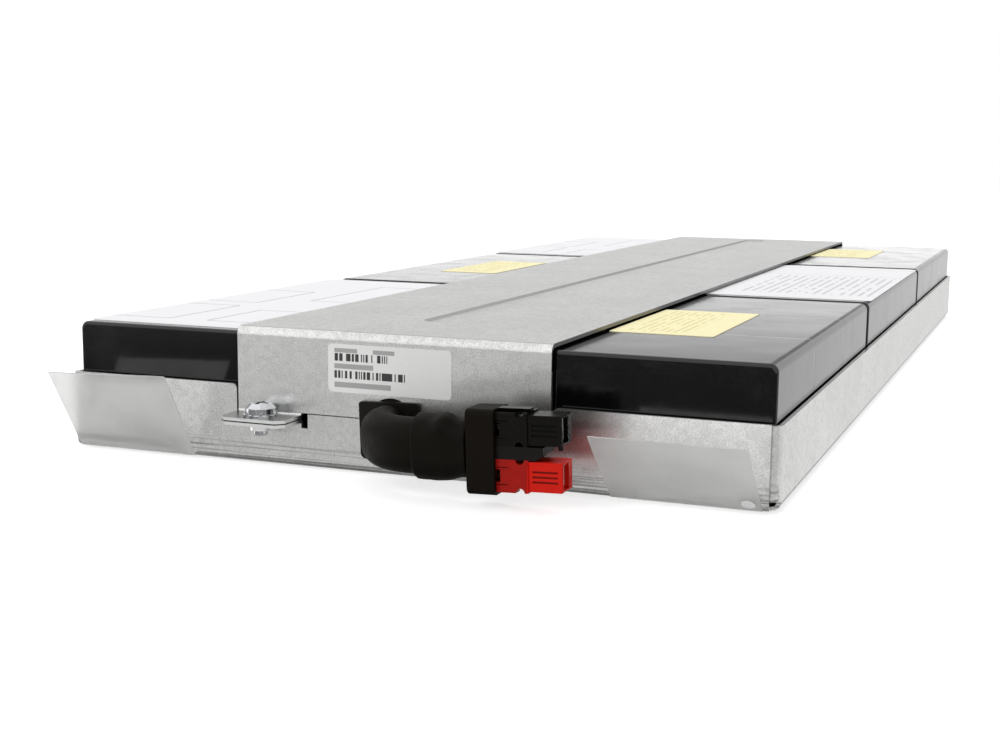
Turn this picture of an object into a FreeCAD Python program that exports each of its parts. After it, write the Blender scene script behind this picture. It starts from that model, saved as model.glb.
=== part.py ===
import FreeCAD, Part

import math
import os
from types import SimpleNamespace

import Sketcher
from FreeCAD import Placement, Rotation, Vector

# A rack battery cartridge: an open sheet-steel tray with two rows of three slim sealed
# lead-acid blocks lying flat, lid sides facing each other across a wiring channel. A folded
# steel cover runs over the channel and is screwed to a tab on the tray's front wall. A short
# sleeved lead leaves through that wall and ends in a stacked pair of power connectors.
#
# Frame: X to the right, Y to the back, Z up, origin at the middle of the tray's underside.
# All lengths are millimetres and all angles are degrees.

SIZES = [
    ("tray_width", 200.0, "tray, outside, left to right"),
    ("tray_depth", 468.0, "tray, outside, front to back"),
    ("sheet", 1.0, "thickness of the tray's steel"),
    ("bend", 1.0, "inside radius of the tray's folds"),
    ("end_wall", 21.0, "height of the front and rear walls"),
    ("side_wall", 20.6, "height of the side walls"),
    ("corner_gap", 0.2, "end wall's edge to the side's fold"),
    ("corner_flange", 9.0, "side wall's flange behind an end wall"),
    ("corner_relief", 2.4, "height of the open corner below a flange"),
    ("fold_gap", 0.1, "play between two layers of steel"),
    ("block_length", 151.0, "battery block along the row"),
    ("block_height", 94.0, "battery block from its base to its lid's face"),
    ("block_thickness", 34.0, "battery block lying flat"),
    ("block_round", 2.2, "rounding along the block's base"),
    ("block_edge", 0.9, "rounding of the block's other edges"),
    ("lid_height", 12.0, "part of block_height that is lid"),
    ("lid_edge", 0.7, "bevel round the lid's face"),
    ("block_gap", 4.4, "joint between two blocks of a row"),
    ("front_play", 0.1, "blocks to the front corner flanges"),
    ("left_play", 1.7, "left row to the left side wall"),
    ("right_play", 0.5, "right row to the right side wall"),
    ("strip_depth", 0.5, "vent strip's outline in the lid"),
    ("strip_line", 1.0, "vent strip's outline, width"),
    ("well_depth", 3.0, "terminal well in the lid"),
    ("well_length", 11.0, "terminal well along the row"),
    ("well_width", 9.0, "terminal well across the lid"),
    ("terminal_inset", 16.0, "terminal to the nearer end of its block"),
    ("terminal_pitch", 16.0, "between the two terminals of a block"),
    ("terminal_reach", 5.6, "blade above the lid's face"),
    ("blade_width", 6.35, "terminal blade along the row"),
    ("blade_thickness", 0.8, "terminal blade, thickness"),
    ("blade_cut", 0.95, "terminal blade's cut corner"),
    ("blade_hole", 1.6, "terminal blade's locking hole"),
    ("receptacle_wall", 0.6, "push-on receptacle around a blade"),
    ("receptacle_play", 0.1, "play between blade and receptacle"),
    ("receptacle_lift", 0.5, "receptacle to the lid's face"),
    ("barrel_length", 5.0, "crimp barrel of a receptacle"),
    ("barrel_diameter", 4.2, "crimp barrel of a receptacle"),
    ("barrel_offset", 3.9, "crimp barrel's axis to the lid's face"),
    ("wire_diameter", 3.2, "insulated wire in the channel"),
    ("wire_bend", 3.2, "bend of that wire"),
    ("exit_bend", 2.8, "bend of that wire at the lead's exit"),
    ("lane_shift", 2.1, "channel's middle to a main lead"),
    ("lead_run", 5.0, "main lead's run above the lower terminals"),
    ("cover_width", 88.6, "cover, left to right"),
    ("cover_shift", -0.8, "cover's middle from the tray's middle"),
    ("cover_sheet", 1.0, "thickness of the cover's steel"),
    ("cover_bend", 1.2, "inside radius of the cover's folds"),
    ("cover_lift", 0.7, "cover's underside above the blocks"),
    ("flap_gap", 0.25, "flap's edge above the front wall's notch"),
    ("notch_gap", 0.5, "flap's side edge to the front wall"),
    ("notch_round", 1.5, "rounded corner of the front wall's notch"),
    ("rear_flap_foot", 8.0, "rear flap's lower edge above the tray's underside"),
    ("hook_width", 24.0, "rear hook of the cover"),
    ("hook_height", 12.0, "rear hook's lower face above the underside"),
    ("bead_width", 11.0, "pressed channel in the cover"),
    ("bead_depth", 0.5, "pressed channel in the cover"),
    ("bead_slope", 1.6, "pressed channel's sloping wall, across"),
    ("bead_front", 30.0, "pressed channel's end to the cover's front"),
    ("bead_rear", 12.0, "pressed channel's end to the cover's rear"),
    ("tab_width", 19.0, "fixing tab, left to right"),
    ("tab_reach", 10.5, "fixing tab, in front of the wall"),
    ("tab_height", 12.9, "tray tab's upper face above the underside"),
    ("tab_bend", 0.5, "inside radius of the tab's fold"),
    ("tab_corner", 2.0, "cut corner of the tab"),
    ("relief_width", 1.9, "bend relief beside the tab"),
    ("relief_drop", 3.8, "bend relief below the seat"),
    ("screw_diameter", 4.0, "fixing screw"),
    ("screw_play", 0.15, "screw in its threaded collar, all round"),
    ("screw_along", 9.9, "screw's axis to the tab's left edge"),
    ("screw_ahead", 5.3, "screw's axis in front of the wall"),
    ("screw_tip", 1.4, "screw below its threaded collar"),
    ("head_diameter", 8.0, "pan head"),
    ("head_height", 3.1, "pan head"),
    ("head_rim", 1.7, "pan head's straight side"),
    ("head_crown", 0.2, "drop of the pan head's crown"),
    ("crown_diameter", 5.4, "flat of the pan head's crown"),
    ("recess_length", 4.8, "cross recess, arm to arm"),
    ("recess_width", 1.0, "cross recess, across an arm"),
    ("recess_depth", 1.9, "cross recess"),
    ("thread_cut", 0.45, "bevel at the screw's tip"),
    ("washer_diameter", 9.2, "toothed washer"),
    ("washer_thickness", 0.6, "toothed washer"),
    ("tooth_length", 0.9, "washer's teeth"),
    ("tooth_gap", 1.1, "between two teeth at their tips"),
    ("tooth_root_gap", 0.66, "between two teeth at their roots"),
    ("collar_diameter", 5.8, "threaded collar under the tray's tab"),
    ("collar_height", 1.6, "threaded collar under the tray's tab"),
    ("exit_along", 0.2, "lead's exit from the tray's middle"),
    ("exit_height", 12.0, "lead's exit above the underside"),
    ("lead_tilt", 2.2, "lead's rise toward its connectors"),
    ("lead_standoff", 17.5, "lead's middle in front of the wall"),
    ("lead_bend", 15.2, "elbow's middle radius"),
    ("lead_width", 10.2, "elbow, front to back"),
    ("lead_height", 13.8, "elbow, up and down"),
    ("grommet_width", 16.7, "grommet's front plate"),
    ("grommet_height", 14.9, "grommet's front plate"),
    ("grommet_plate", 1.5, "grommet's front plate, thickness"),
    ("grommet_wall", 1.2, "grommet's neck, thickness"),
    ("grommet_play", 0.2, "grommet's neck in its hole"),
    ("grommet_lip", 0.8, "grommet's inner lip, thickness"),
    ("grommet_hold", 0.5, "grommet's inner lip beyond its neck"),
    ("grommet_round", 0.75, "grommet plate's upper corners"),
    ("sleeve_start", 15.9, "sleeve's start, right of the exit"),
    ("sleeve_length", 14.2, "sleeve, from elbow to boot"),
    ("sleeve_width", 11.6, "sleeve, front to back"),
    ("sleeve_height", 16.2, "sleeve, up and down"),
    ("sleeve_swell", 0.5, "sleeve's bulge, all round"),
    ("boot_length", 7.2, "boot, left to right"),
    ("boot_wall", 0.8, "boot above and below the connectors"),
    ("boot_cheek", 1.3, "boot before and behind the connectors"),
    ("boot_back", 0.5, "boot's wall at the sleeve"),
    ("boot_round", 1.6, "boot's rounded edges"),
    ("boot_shoulder", 0.5, "boot's rounding at the sleeve"),
    ("boot_play", 0.05, "connectors in the boot, all round"),
    ("housing_side", 7.9, "connector housing's square section"),
    ("housing_length", 23.1, "connector housing"),
    ("nose_length", 8.4, "connector housing's mating nose"),
    ("nose_side", 7.1, "mating nose's square section"),
    ("slot_height", 6.0, "nose's mating slot, up and down"),
    ("slot_width", 3.6, "nose's mating slot, front to back"),
    ("slot_front", 0.85, "wall in front of the mating slot"),
    ("nose_round", 0.3, "rounded edges of the nose's end"),
    ("groove_pitch", 1.2, "between two grip grooves"),
    ("groove_width", 0.5, "grip groove"),
    ("groove_depth", 0.35, "grip groove"),
    ("groove_start", 1.0, "nose's start to the grip grooves"),
    ("groove_length", 6.3, "grip groove"),
    ("window_height", 3.1, "contact spring's window"),
    ("window_length", 2.2, "contact spring's window"),
    ("tongue_height", 4.1, "between the moulded lines of the spring's tongue"),
    ("tongue_length", 3.1, "moulded lines of the spring's tongue"),
    ("tongue_line", 0.3, "moulded line, width and depth"),
    ("bore_side", 5.2, "housing's wire bore"),
    ("bore_end", 1.2, "wall between wire bore and mating slot"),
    ("pin_notch", 1.1, "half-round notch's radius"),
    ("pin_inset", 2.0, "notch's middle to the nose"),
    ("dovetail_width", 3.2, "sliding rib's width at its top"),
    ("dovetail_depth", 0.8, "sliding rib's height"),
    ("dovetail_flare", 0.5, "sliding rib's narrowing at its foot"),
    ("dovetail_play", 0.12, "sliding rib in its groove, all round"),
    ("contact_thickness", 0.85, "contact blade"),
    ("contact_width", 4.8, "contact blade"),
    ("contact_inset", 1.0, "contact's tip inside the nose"),
    ("contact_barrel", 4.4, "contact's crimp barrel, diameter"),
    ("contact_tip", 0.7, "contact's rounded tip"),
    ("spacer_height", 3.1, "key between the two housings"),
    ("spacer_nose", 3.9, "key's nose beyond the housings' bodies"),
    ("spacer_cut", 1.3, "rise of the cut under the key's nose"),
    ("post_diameter", 1.1, "stop post"),
    ("post_along", 6.9, "stop post beyond the nose's start"),
    ("pad_margin", 3.0, "foam pad inside the face that it lies on"),
    ("pad_play", 0.3, "foam pad, clearance to the next piece"),
    ("film_width", 37.2, "pull tab of clear film"),
    ("film_length", 25.9, "pull tab's free part"),
    ("film_thickness", 0.3, "pull tab"),
    ("film_bond", 0.05, "glue between film and tray"),
    ("film_root", 32.0, "angle round the tray's fold where the film starts"),
    ("film_left_lean", 31.0, "left film's lean from the upright"),
    ("film_right_lean", 46.0, "right film's lean from the upright"),
    ("film_left_inset", 3.7, "left film to the tray's left side"),
    ("film_right_inset", 3.5, "right film to the tray's right side"),
]

doc = FreeCAD.newDocument("BatteryCartridge")
sheet = doc.addObject("Spreadsheet::Sheet", "Sizes")
for row, (alias, number, note) in enumerate(SIZES, start=1):
    sheet.set("A%d" % row, alias)
    sheet.set("B%d" % row, str(number))
    sheet.set("C%d" % row, note)
    sheet.setAlias("B%d" % row, alias)
doc.recompute()


class Size:
    """A length or angle with the sheet expression that gives it."""

    def __init__(self, value, text):
        self.value = float(value)
        self.text = text

    def __add__(self, other):
        other = as_size(other)
        return Size(self.value + other.value, "(%s + %s)" % (self.text, other.text))

    def __sub__(self, other):
        other = as_size(other)
        return Size(self.value - other.value, "(%s - %s)" % (self.text, other.text))

    def __mul__(self, factor):
        return Size(self.value * factor, "(%s * %s)" % (self.text, factor))

    def __truediv__(self, divisor):
        return Size(self.value / divisor, "(%s / %s)" % (self.text, divisor))

    def __neg__(self):
        return Size(-self.value, "(0 - %s)" % self.text)

    def __float__(self):
        return self.value


def as_size(number):
    """A plain number as a Size; a Size stays as it is."""
    if isinstance(number, Size):
        return number
    return Size(number, repr(float(number)))


def read_sheet():
    """Every alias of the sheet as a Size under its own name."""
    cells = {alias: Size(getattr(sheet, alias), "Sizes." + alias) for alias, _, _ in SIZES}
    return SimpleNamespace(**cells)


s = read_sheet()

# Places that several pieces share.
left = -s.tray_width / 2
right = s.tray_width / 2
front = -s.tray_depth / 2
rear = s.tray_depth / 2
fold = s.bend + s.sheet
flange_front = front + s.sheet + s.fold_gap
block_front = flange_front + s.sheet + s.front_play
block_pitch = s.block_length + s.block_gap
block_top = s.sheet + s.block_thickness
left_lid = left + s.sheet + s.left_play + s.block_height
right_lid = right - s.sheet - s.right_play - s.block_height
channel = (left_lid + right_lid) / 2
cover_left = s.cover_shift - s.cover_width / 2
cover_right = s.cover_shift + s.cover_width / 2
cover_top = block_top + s.cover_lift + s.cover_sheet
cover_rear = rear - s.sheet - s.fold_gap
tab_right = cover_left + s.tab_width
tab_top = s.tab_height + s.cover_sheet
flap_foot = tab_top + s.tab_bend + s.fold_gap
seat_height = flap_foot - s.flap_gap
screw_x = cover_left + s.screw_along
screw_y = front - s.screw_ahead
lower_terminal = s.sheet + s.block_thickness / 2 - s.terminal_pitch / 2
upper_terminal = lower_terminal + s.terminal_pitch

ROW_NAMES = ("front", "middle", "rear")
parts = []


# Helpers for bodies and sketches

def keep(piece):
    """Note a finished sub-part, to be checked and written at the end."""
    parts.append(piece)
    return piece


def new_body(label):
    body = doc.addObject("PartDesign::Body", label)
    body.Label = label
    return keep(body)


def new_sketch(body, plane, offset=0.0):
    """A sketch on one of the body's origin planes, moved along that plane's normal.

    XY looks up, XZ looks to the front (its normal is -Y) and YZ looks to the right.
    """
    sketch = body.newObject("Sketcher::SketchObject", body.Label + "_sketch")
    role = plane + "_Plane"
    support = [item for item in body.Origin.OriginFeatures if item.Role == role][0]
    sketch.AttachmentSupport = [(support, "")]
    sketch.MapMode = "FlatFace"
    sketch.setExpression("AttachmentOffset.Base.z", as_size(offset).text)
    return sketch


def pin_point(sketch, geometry, point, place):
    """Tie a point of the sketch to a place that is given by two sizes."""
    for kind, size in zip(("DistanceX", "DistanceY"), place):
        size = as_size(size)
        rule = Sketcher.Constraint(kind, -1, 1, geometry, point, size.value)
        number = sketch.addConstraint(rule)
        sketch.setExpression("Constraints[%d]" % number, size.text)


def bind_radius(sketch, geometry, radius):
    number = sketch.addConstraint(Sketcher.Constraint("Radius", geometry, radius.value))
    sketch.setExpression("Constraints[%d]" % number, radius.text)


def as_vector(place):
    return Vector(float(place[0]), float(place[1]), 0)


def polygon(sketch, points):
    """A closed outline of straight lines, each corner tied to its sizes."""
    count = len(points)
    spots = [as_vector(place) for place in points]
    lines = [Part.LineSegment(spots[i], spots[(i + 1) % count]) for i in range(count)]
    numbers = [sketch.addGeometry(line, False) for line in lines]
    for index, number in enumerate(numbers):
        following = numbers[(index + 1) % count]
        sketch.addConstraint(Sketcher.Constraint("Coincident", number, 2, following, 1))
        pin_point(sketch, number, 1, points[index])


def rectangle(sketch, low, high):
    polygon(sketch, [low, (high[0], low[1]), high, (low[0], high[1])])


def circle(sketch, centre, radius):
    number = sketch.addGeometry(Part.Circle(as_vector(centre), Vector(0, 0, 1), radius.value), False)
    pin_point(sketch, number, 3, centre)
    bind_radius(sketch, number, radius)


def stadium(sketch, low, high, radius):
    """A slot outline round two centres, the second one above the first or right of it."""
    first = as_vector(low)
    second = as_vector(high)
    turn = math.atan2(second.y - first.y, second.x - first.x)
    side = Vector(-math.sin(turn), math.cos(turn), 0) * radius.value
    up = Vector(0, 0, 1)
    ring_low = Part.Circle(first, up, radius.value)
    ring_high = Part.Circle(second, up, radius.value)
    outline = [
        Part.LineSegment(first - side, second - side),
        Part.ArcOfCircle(ring_high, turn - math.pi / 2, turn + math.pi / 2),
        Part.LineSegment(second + side, first + side),
        Part.ArcOfCircle(ring_low, turn + math.pi / 2, turn + math.pi * 3 / 2),
    ]
    one, two, three, four = [sketch.addGeometry(item, False) for item in outline]
    for start, end in ((one, two), (two, three), (three, four), (four, one)):
        sketch.addConstraint(Sketcher.Constraint("Tangent", start, 2, end, 1))
    pin_point(sketch, two, 3, high)
    pin_point(sketch, four, 3, low)
    bind_radius(sketch, two, radius)
    sketch.addConstraint(Sketcher.Constraint("Equal", two, four))


def add_feature(body, kind, sketch, length, both_ways=False, backward=False):
    """A pad or pocket of a sketch; both_ways spreads it evenly about the sketch."""
    feature = body.newObject("PartDesign::" + kind, "%s_%s" % (body.Label, kind))
    feature.Profile = sketch
    feature.setExpression("Length", as_size(length).text)
    feature.Midplane = both_ways
    feature.Reversed = backward
    sketch.Visibility = False
    doc.recompute()
    if "Invalid" in feature.State or feature.Shape.isNull():
        raise RuntimeError("%s: %s" % (feature.Name, feature.getStatusString()))
    return feature


def pad(body, sketch, length, both_ways=False, backward=False):
    before = body.Shape.Volume if body.Shape.Solids else 0.0
    feature = add_feature(body, "Pad", sketch, length, both_ways, backward)
    if feature.Shape.Volume <= before:
        raise RuntimeError("pad adds nothing: " + feature.Name)
    return feature


def pocket(body, sketch, length, both_ways=False, backward=False):
    before = body.Shape.Volume
    feature = add_feature(body, "Pocket", sketch, length, both_ways, backward)
    if feature.Shape.Volume >= before:
        raise RuntimeError("pocket cuts nothing: " + feature.Name)
    return feature


def edges_where(body, test):
    """Names of the edges whose bounding box passes a test."""
    return [
        "Edge%d" % number
        for number, edge in enumerate(body.Shape.Edges, start=1)
        if test(edge.BoundBox)
    ]


def near(number, size):
    return abs(number - float(size)) < 0.001


def along_x(box, y, z):
    """True for an edge that runs along X at this y and z."""
    flat = box.YLength < 0.001 and box.ZLength < 0.001
    return flat and near(box.YMin, y) and near(box.ZMin, z)


def along_y(box, x, z):
    flat = box.XLength < 0.001 and box.ZLength < 0.001
    return flat and near(box.XMin, x) and near(box.ZMin, z)


def along_z(box, x, y):
    flat = box.XLength < 0.001 and box.YLength < 0.001
    return flat and near(box.XMin, x) and near(box.YMin, y)


def dress_edges(body, kind, property_name, size, test):
    """A fillet or chamfer on the edges that pass a test."""
    base = body.Tip
    names = edges_where(body, test)
    if not names:
        raise RuntimeError("no edge to dress on " + body.Label)
    feature = body.newObject("PartDesign::" + kind, "%s_%s" % (body.Label, kind))
    feature.Base = (base, names)
    feature.setExpression(property_name, as_size(size).text)
    doc.recompute()
    if "Invalid" in feature.State:
        raise RuntimeError("%s: %s" % (feature.Name, feature.getStatusString()))
    return feature


def round_edges(body, radius, test):
    return dress_edges(body, "Fillet", "Radius", radius, test)


def cut_edges(body, size, test):
    return dress_edges(body, "Chamfer", "Size", size, test)


def place_at(piece, x, y, z, axis=Vector(0, 0, 1), angle=0.0):
    """Set a sub-part's place, tied to the sizes that give it."""
    angle = as_size(angle)
    piece.Placement = Placement(Vector(float(x), float(y), float(z)), Rotation(axis, angle.value))
    for name, size in (("x", x), ("y", y), ("z", z)):
        piece.setExpression("Placement.Base." + name, as_size(size).text)


def box(label, low, high):
    """A plain block between two corners."""
    piece = doc.addObject("Part::Box", label)
    piece.Label = label
    for name, start, end in zip(("Length", "Width", "Height"), low, high):
        piece.setExpression(name, (as_size(end) - start).text)
    place_at(piece, *low)
    return keep(piece)


# The tray

def tray():
    """Floor, four walls with open corners, fixing tab, exit hole and hook slot."""
    body = new_body("tray")
    corner_start = s.sheet + s.fold_gap + fold
    side_length = s.tray_depth - corner_start * 2
    end_length = s.tray_width - (fold + s.corner_gap) * 2

    sides = new_sketch(body, "XZ")
    polygon(sides, wall_profile(left, right, s.side_wall))
    pad(body, sides, side_length, both_ways=True)
    ends = new_sketch(body, "YZ")
    polygon(ends, wall_profile(front, rear, s.end_wall))
    pad(body, ends, end_length, both_ways=True)
    round_edges(body, fold, lambda b: along_y(b, left, 0) or along_y(b, right, 0)
                or along_x(b, front, 0) or along_x(b, rear, 0))
    inner_x = (left + s.sheet, right - s.sheet)
    inner_y = (front + s.sheet, rear - s.sheet)
    round_edges(body, s.bend, lambda b: any(along_y(b, x, s.sheet) for x in inner_x)
                or any(along_x(b, y, s.sheet) for y in inner_y))

    corner_flanges(body, corner_start)
    tray_tab(body)
    exit_hole(body, s.sheet)
    hook_slot(body)


def wall_profile(low, high, height):
    """A U of sheet: a floor with a wall at each end."""
    return [
        (low, 0), (high, 0), (high, height), (high - s.sheet, height),
        (high - s.sheet, s.sheet), (low + s.sheet, s.sheet), (low + s.sheet, height), (low, height),
    ]


def corner_flanges(body, corner_start):
    """The side walls' ends, folded in behind the front and rear walls."""
    sketch = new_sketch(body, "XY", s.corner_relief)
    for wall, inward in ((left, 1), (right, -1)):
        for end, back in ((front, 1), (rear, -1)):
            outer = s.sheet + s.fold_gap
            inner = outer + s.sheet
            polygon(sketch, [
                (wall, end + corner_start * back),
                (wall, end + outer * back),
                (wall + s.corner_flange * inward, end + outer * back),
                (wall + s.corner_flange * inward, end + inner * back),
                (wall + s.sheet * inward, end + inner * back),
                (wall + s.sheet * inward, end + corner_start * back),
            ])
    pad(body, sketch, s.side_wall - s.corner_relief)
    outer_y = (flange_front, -flange_front)
    inner_y = (flange_front + s.sheet, -flange_front - s.sheet)
    round_edges(body, fold, lambda b: any(along_z(b, x, y) for x in (left, right) for y in outer_y))
    inner_x = (left + s.sheet, right - s.sheet)
    round_edges(body, s.bend, lambda b: any(along_z(b, x, y) for x in inner_x for y in inner_y))


def tray_tab(body):
    """The front wall's notch for the cover's flap, and the tab folded out of its edge."""
    notch = new_sketch(body, "XZ", -front)
    relief_foot = seat_height - s.relief_drop
    top = s.end_wall + s.sheet
    polygon(notch, [
        (cover_left - s.notch_gap, top),
        (cover_left - s.notch_gap, relief_foot),
        (cover_left, relief_foot),
        (cover_left, s.tab_height),
        (tab_right, s.tab_height),
        (tab_right, relief_foot),
        (tab_right + s.relief_width, relief_foot),
        (tab_right + s.relief_width, seat_height),
        (cover_right + s.notch_gap, seat_height),
        (cover_right + s.notch_gap, top),
    ])
    pocket(body, notch, s.sheet)
    notch_corners = (cover_left - s.notch_gap, cover_right + s.notch_gap)
    round_edges(body, s.notch_round, lambda b: near(b.ZMin, s.end_wall) and near(b.ZMax, s.end_wall)
                and near(b.YMin, front) and b.XLength < 0.001
                and any(near(b.XMin, x) for x in notch_corners))

    plate = new_sketch(body, "XY", s.tab_height - s.sheet)
    rectangle(plate, (cover_left, front - s.tab_reach), (tab_right, front + s.sheet))
    pad(body, plate, s.sheet)
    round_edges(body, s.tab_bend + s.sheet, lambda b: along_x(b, front + s.sheet, s.tab_height))
    round_edges(body, s.tab_bend, lambda b: along_x(b, front, s.tab_height - s.sheet)
                and b.XLength > 0.9 * float(s.tab_width))
    cut_edges(body, s.tab_corner, lambda b: along_z(b, cover_left, front - s.tab_reach)
              or along_z(b, tab_right, front - s.tab_reach))

    collar = new_sketch(body, "XY", s.tab_height - s.sheet)
    circle(collar, (screw_x, screw_y), s.collar_diameter / 2)
    pad(body, collar, s.collar_height, backward=True)
    thread = new_sketch(body, "XY", s.tab_height)
    circle(thread, (screw_x, screw_y), s.screw_diameter / 2 + s.screw_play)
    pocket(body, thread, s.sheet + s.collar_height)


def exit_hole(body, thickness):
    """The hole for the lead's grommet, which the wall and the cover's flap share."""
    hole = new_sketch(body, "XZ", -front)
    reach = s.lead_width / 2 + s.grommet_wall + s.grommet_play
    rise = (s.lead_height - s.lead_width) / 2
    stadium(hole, (s.exit_along, s.exit_height - rise), (s.exit_along, s.exit_height + rise), reach)
    pocket(body, hole, thickness)


def hook_slot(body):
    """The rear wall's slot for the cover's hook."""
    slot = new_sketch(body, "XZ", -rear)
    half = s.hook_width / 2 + s.notch_gap
    rectangle(slot, (s.cover_shift - half, s.hook_height - s.flap_gap),
              (s.cover_shift + half, s.hook_height + s.cover_sheet + s.flap_gap))
    pocket(body, slot, s.sheet, backward=True)


tray()


# The cover

def cover():
    """Top plate, front flap with its tab, rear flap with its hook, pressed channel."""
    body = new_body("cover")
    inner_top = cover_top - s.cover_sheet
    profile = new_sketch(body, "YZ", s.cover_shift)
    polygon(profile, [
        (front, flap_foot), (front, cover_top),
        (cover_rear, cover_top), (cover_rear, s.rear_flap_foot),
        (cover_rear - s.cover_sheet, s.rear_flap_foot), (cover_rear - s.cover_sheet, inner_top),
        (front + s.cover_sheet, inner_top), (front + s.cover_sheet, flap_foot),
    ])
    pad(body, profile, s.cover_width, both_ways=True)
    round_edges(body, s.cover_bend + s.cover_sheet,
                lambda b: along_x(b, front, cover_top) or along_x(b, cover_rear, cover_top))
    round_edges(body, s.cover_bend, lambda b: along_x(b, front + s.cover_sheet, inner_top)
                or along_x(b, cover_rear - s.cover_sheet, inner_top))

    joined = flap_foot + s.cover_sheet
    tab = new_sketch(body, "YZ", cover_left)
    polygon(tab, [
        (front + s.cover_sheet, s.tab_height), (front + s.cover_sheet, joined),
        (front, joined), (front, tab_top),
        (front - s.tab_reach, tab_top), (front - s.tab_reach, s.tab_height),
    ])
    pad(body, tab, s.tab_width)
    round_edges(body, s.tab_bend + s.cover_sheet,
                lambda b: along_x(b, front + s.cover_sheet, s.tab_height))
    round_edges(body, s.tab_bend, lambda b: along_x(b, front, tab_top))
    cut_edges(body, s.tab_corner, lambda b: along_z(b, cover_left, front - s.tab_reach)
              or along_z(b, tab_right, front - s.tab_reach))
    hole = new_sketch(body, "XY", tab_top)
    circle(hole, (screw_x, screw_y), s.screw_diameter / 2 + s.screw_play * 2)
    pocket(body, hole, s.cover_sheet)

    hook = new_sketch(body, "XY", s.hook_height)
    rectangle(hook, (s.cover_shift - s.hook_width / 2, cover_rear - s.cover_sheet),
              (s.cover_shift + s.hook_width / 2, rear))
    pad(body, hook, s.cover_sheet)

    exit_hole(body, s.cover_sheet)
    pressed_channel(body, inner_top)


def pressed_channel(body, inner_top):
    """The stiffening channel: a trough with sloping walls, and its hump on the underside."""
    first = (s.cover_shift, front + s.bead_front + s.bead_width / 2)
    last = (s.cover_shift, cover_rear - s.bead_rear - s.bead_width / 2)
    narrowing = "-atan(Sizes.bead_slope / Sizes.bead_depth)"
    hump = new_sketch(body, "XY", inner_top)
    stadium(hump, first, last, s.bead_width / 2)
    pad(body, hump, s.bead_depth, backward=True).setExpression("TaperAngle", narrowing)
    trough = new_sketch(body, "XY", cover_top)
    stadium(trough, first, last, s.bead_width / 2)
    pocket(body, trough, s.bead_depth).setExpression("TaperAngle", narrowing)


cover()


# The battery blocks

def block_origin(side, index):
    """The middle of a block's lid face, at the block's underside."""
    lid_x = left_lid if side == "left" else right_lid
    middle_y = block_front + block_pitch * index + s.block_length / 2
    return lid_x, middle_y, s.sheet


def block_name(kind, side, index):
    return "%s_%s_%s" % (kind, side, ROW_NAMES[index])


def lay_block_piece(piece, side, index):
    """A block's own X points from its lid to its base, so the left row is turned round."""
    x, y, z = block_origin(side, index)
    place_at(piece, x, y, z, angle=180.0 if side == "left" else 0.0)


def block_section(body, offset):
    sketch = new_sketch(body, "YZ", offset)
    half = s.block_length / 2
    rectangle(sketch, (-half, 0), (half, s.block_thickness))
    return sketch


def block_case(side, index):
    """The moulded case, sealed and never opened, with a wide rounding along its base."""
    body = new_body(block_name("case", side, index))
    pad(body, block_section(body, s.lid_height), s.block_height - s.lid_height)
    round_edges(body, s.block_round, lambda b: near(b.XMin, s.block_height) and b.YLength > 1)
    round_edges(body, s.block_edge, lambda b: b.YLength < 0.001 and not near(b.XMax, s.lid_height))
    lay_block_piece(body, side, index)


def block_lid(side, index):
    """The lid, with a terminal well at each pole and a let-in vent strip."""
    body = new_body(block_name("lid", side, index))
    pad(body, block_section(body, 0), s.lid_height)
    round_edges(body, s.block_edge, lambda b: b.XLength > 1)
    cut_edges(body, s.lid_edge, lambda b: near(b.XMax, 0))

    wells = new_sketch(body, "YZ")
    for z in (lower_terminal - s.sheet, upper_terminal - s.sheet):
        y = s.terminal_inset - s.block_length / 2
        rectangle(wells, (y - s.well_length / 2, z - s.well_width / 2),
                  (y + s.well_length / 2, z + s.well_width / 2))
    pocket(body, wells, s.well_depth, backward=True)

    strip = new_sketch(body, "YZ")
    outer_half = s.block_length / 2 - s.terminal_inset - s.well_length
    inner_half = outer_half - s.strip_line
    strip_low = s.block_thickness / 4
    strip_high = s.block_thickness - strip_low
    rectangle(strip, (-outer_half, strip_low), (outer_half, strip_high))
    rectangle(strip, (-inner_half, strip_low + s.strip_line), (inner_half, strip_high - s.strip_line))
    pocket(body, strip, s.strip_depth, backward=True)
    lay_block_piece(body, side, index)


def block_terminal(side, index, pole, height):
    """A flat blade that stands out of its well, with a locking hole and a cut tip."""
    body = new_body(block_name("terminal_" + pole, side, index))
    y = s.terminal_inset - s.block_length / 2
    blade = new_sketch(body, "XY", height - s.sheet - s.blade_thickness / 2)
    rectangle(blade, (-s.terminal_reach, y - s.blade_width / 2), (s.well_depth, y + s.blade_width / 2))
    pad(body, blade, s.blade_thickness)
    tip = -s.terminal_reach
    cut_edges(body, s.blade_cut, lambda b: b.ZLength > 0.5 and near(b.XMin, tip))
    hole = new_sketch(body, "XY", height - s.sheet)
    circle(hole, (-s.terminal_reach / 2, y), s.blade_hole / 2)
    pocket(body, hole, s.blade_thickness * 2, both_ways=True)
    lay_block_piece(body, side, index)


for side in ("left", "right"):
    for index in range(3):
        block_case(side, index)
        block_lid(side, index)
        block_terminal(side, index, "lower", lower_terminal)
        block_terminal(side, index, "upper", upper_terminal)


# Foam pads between and above the blocks

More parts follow.
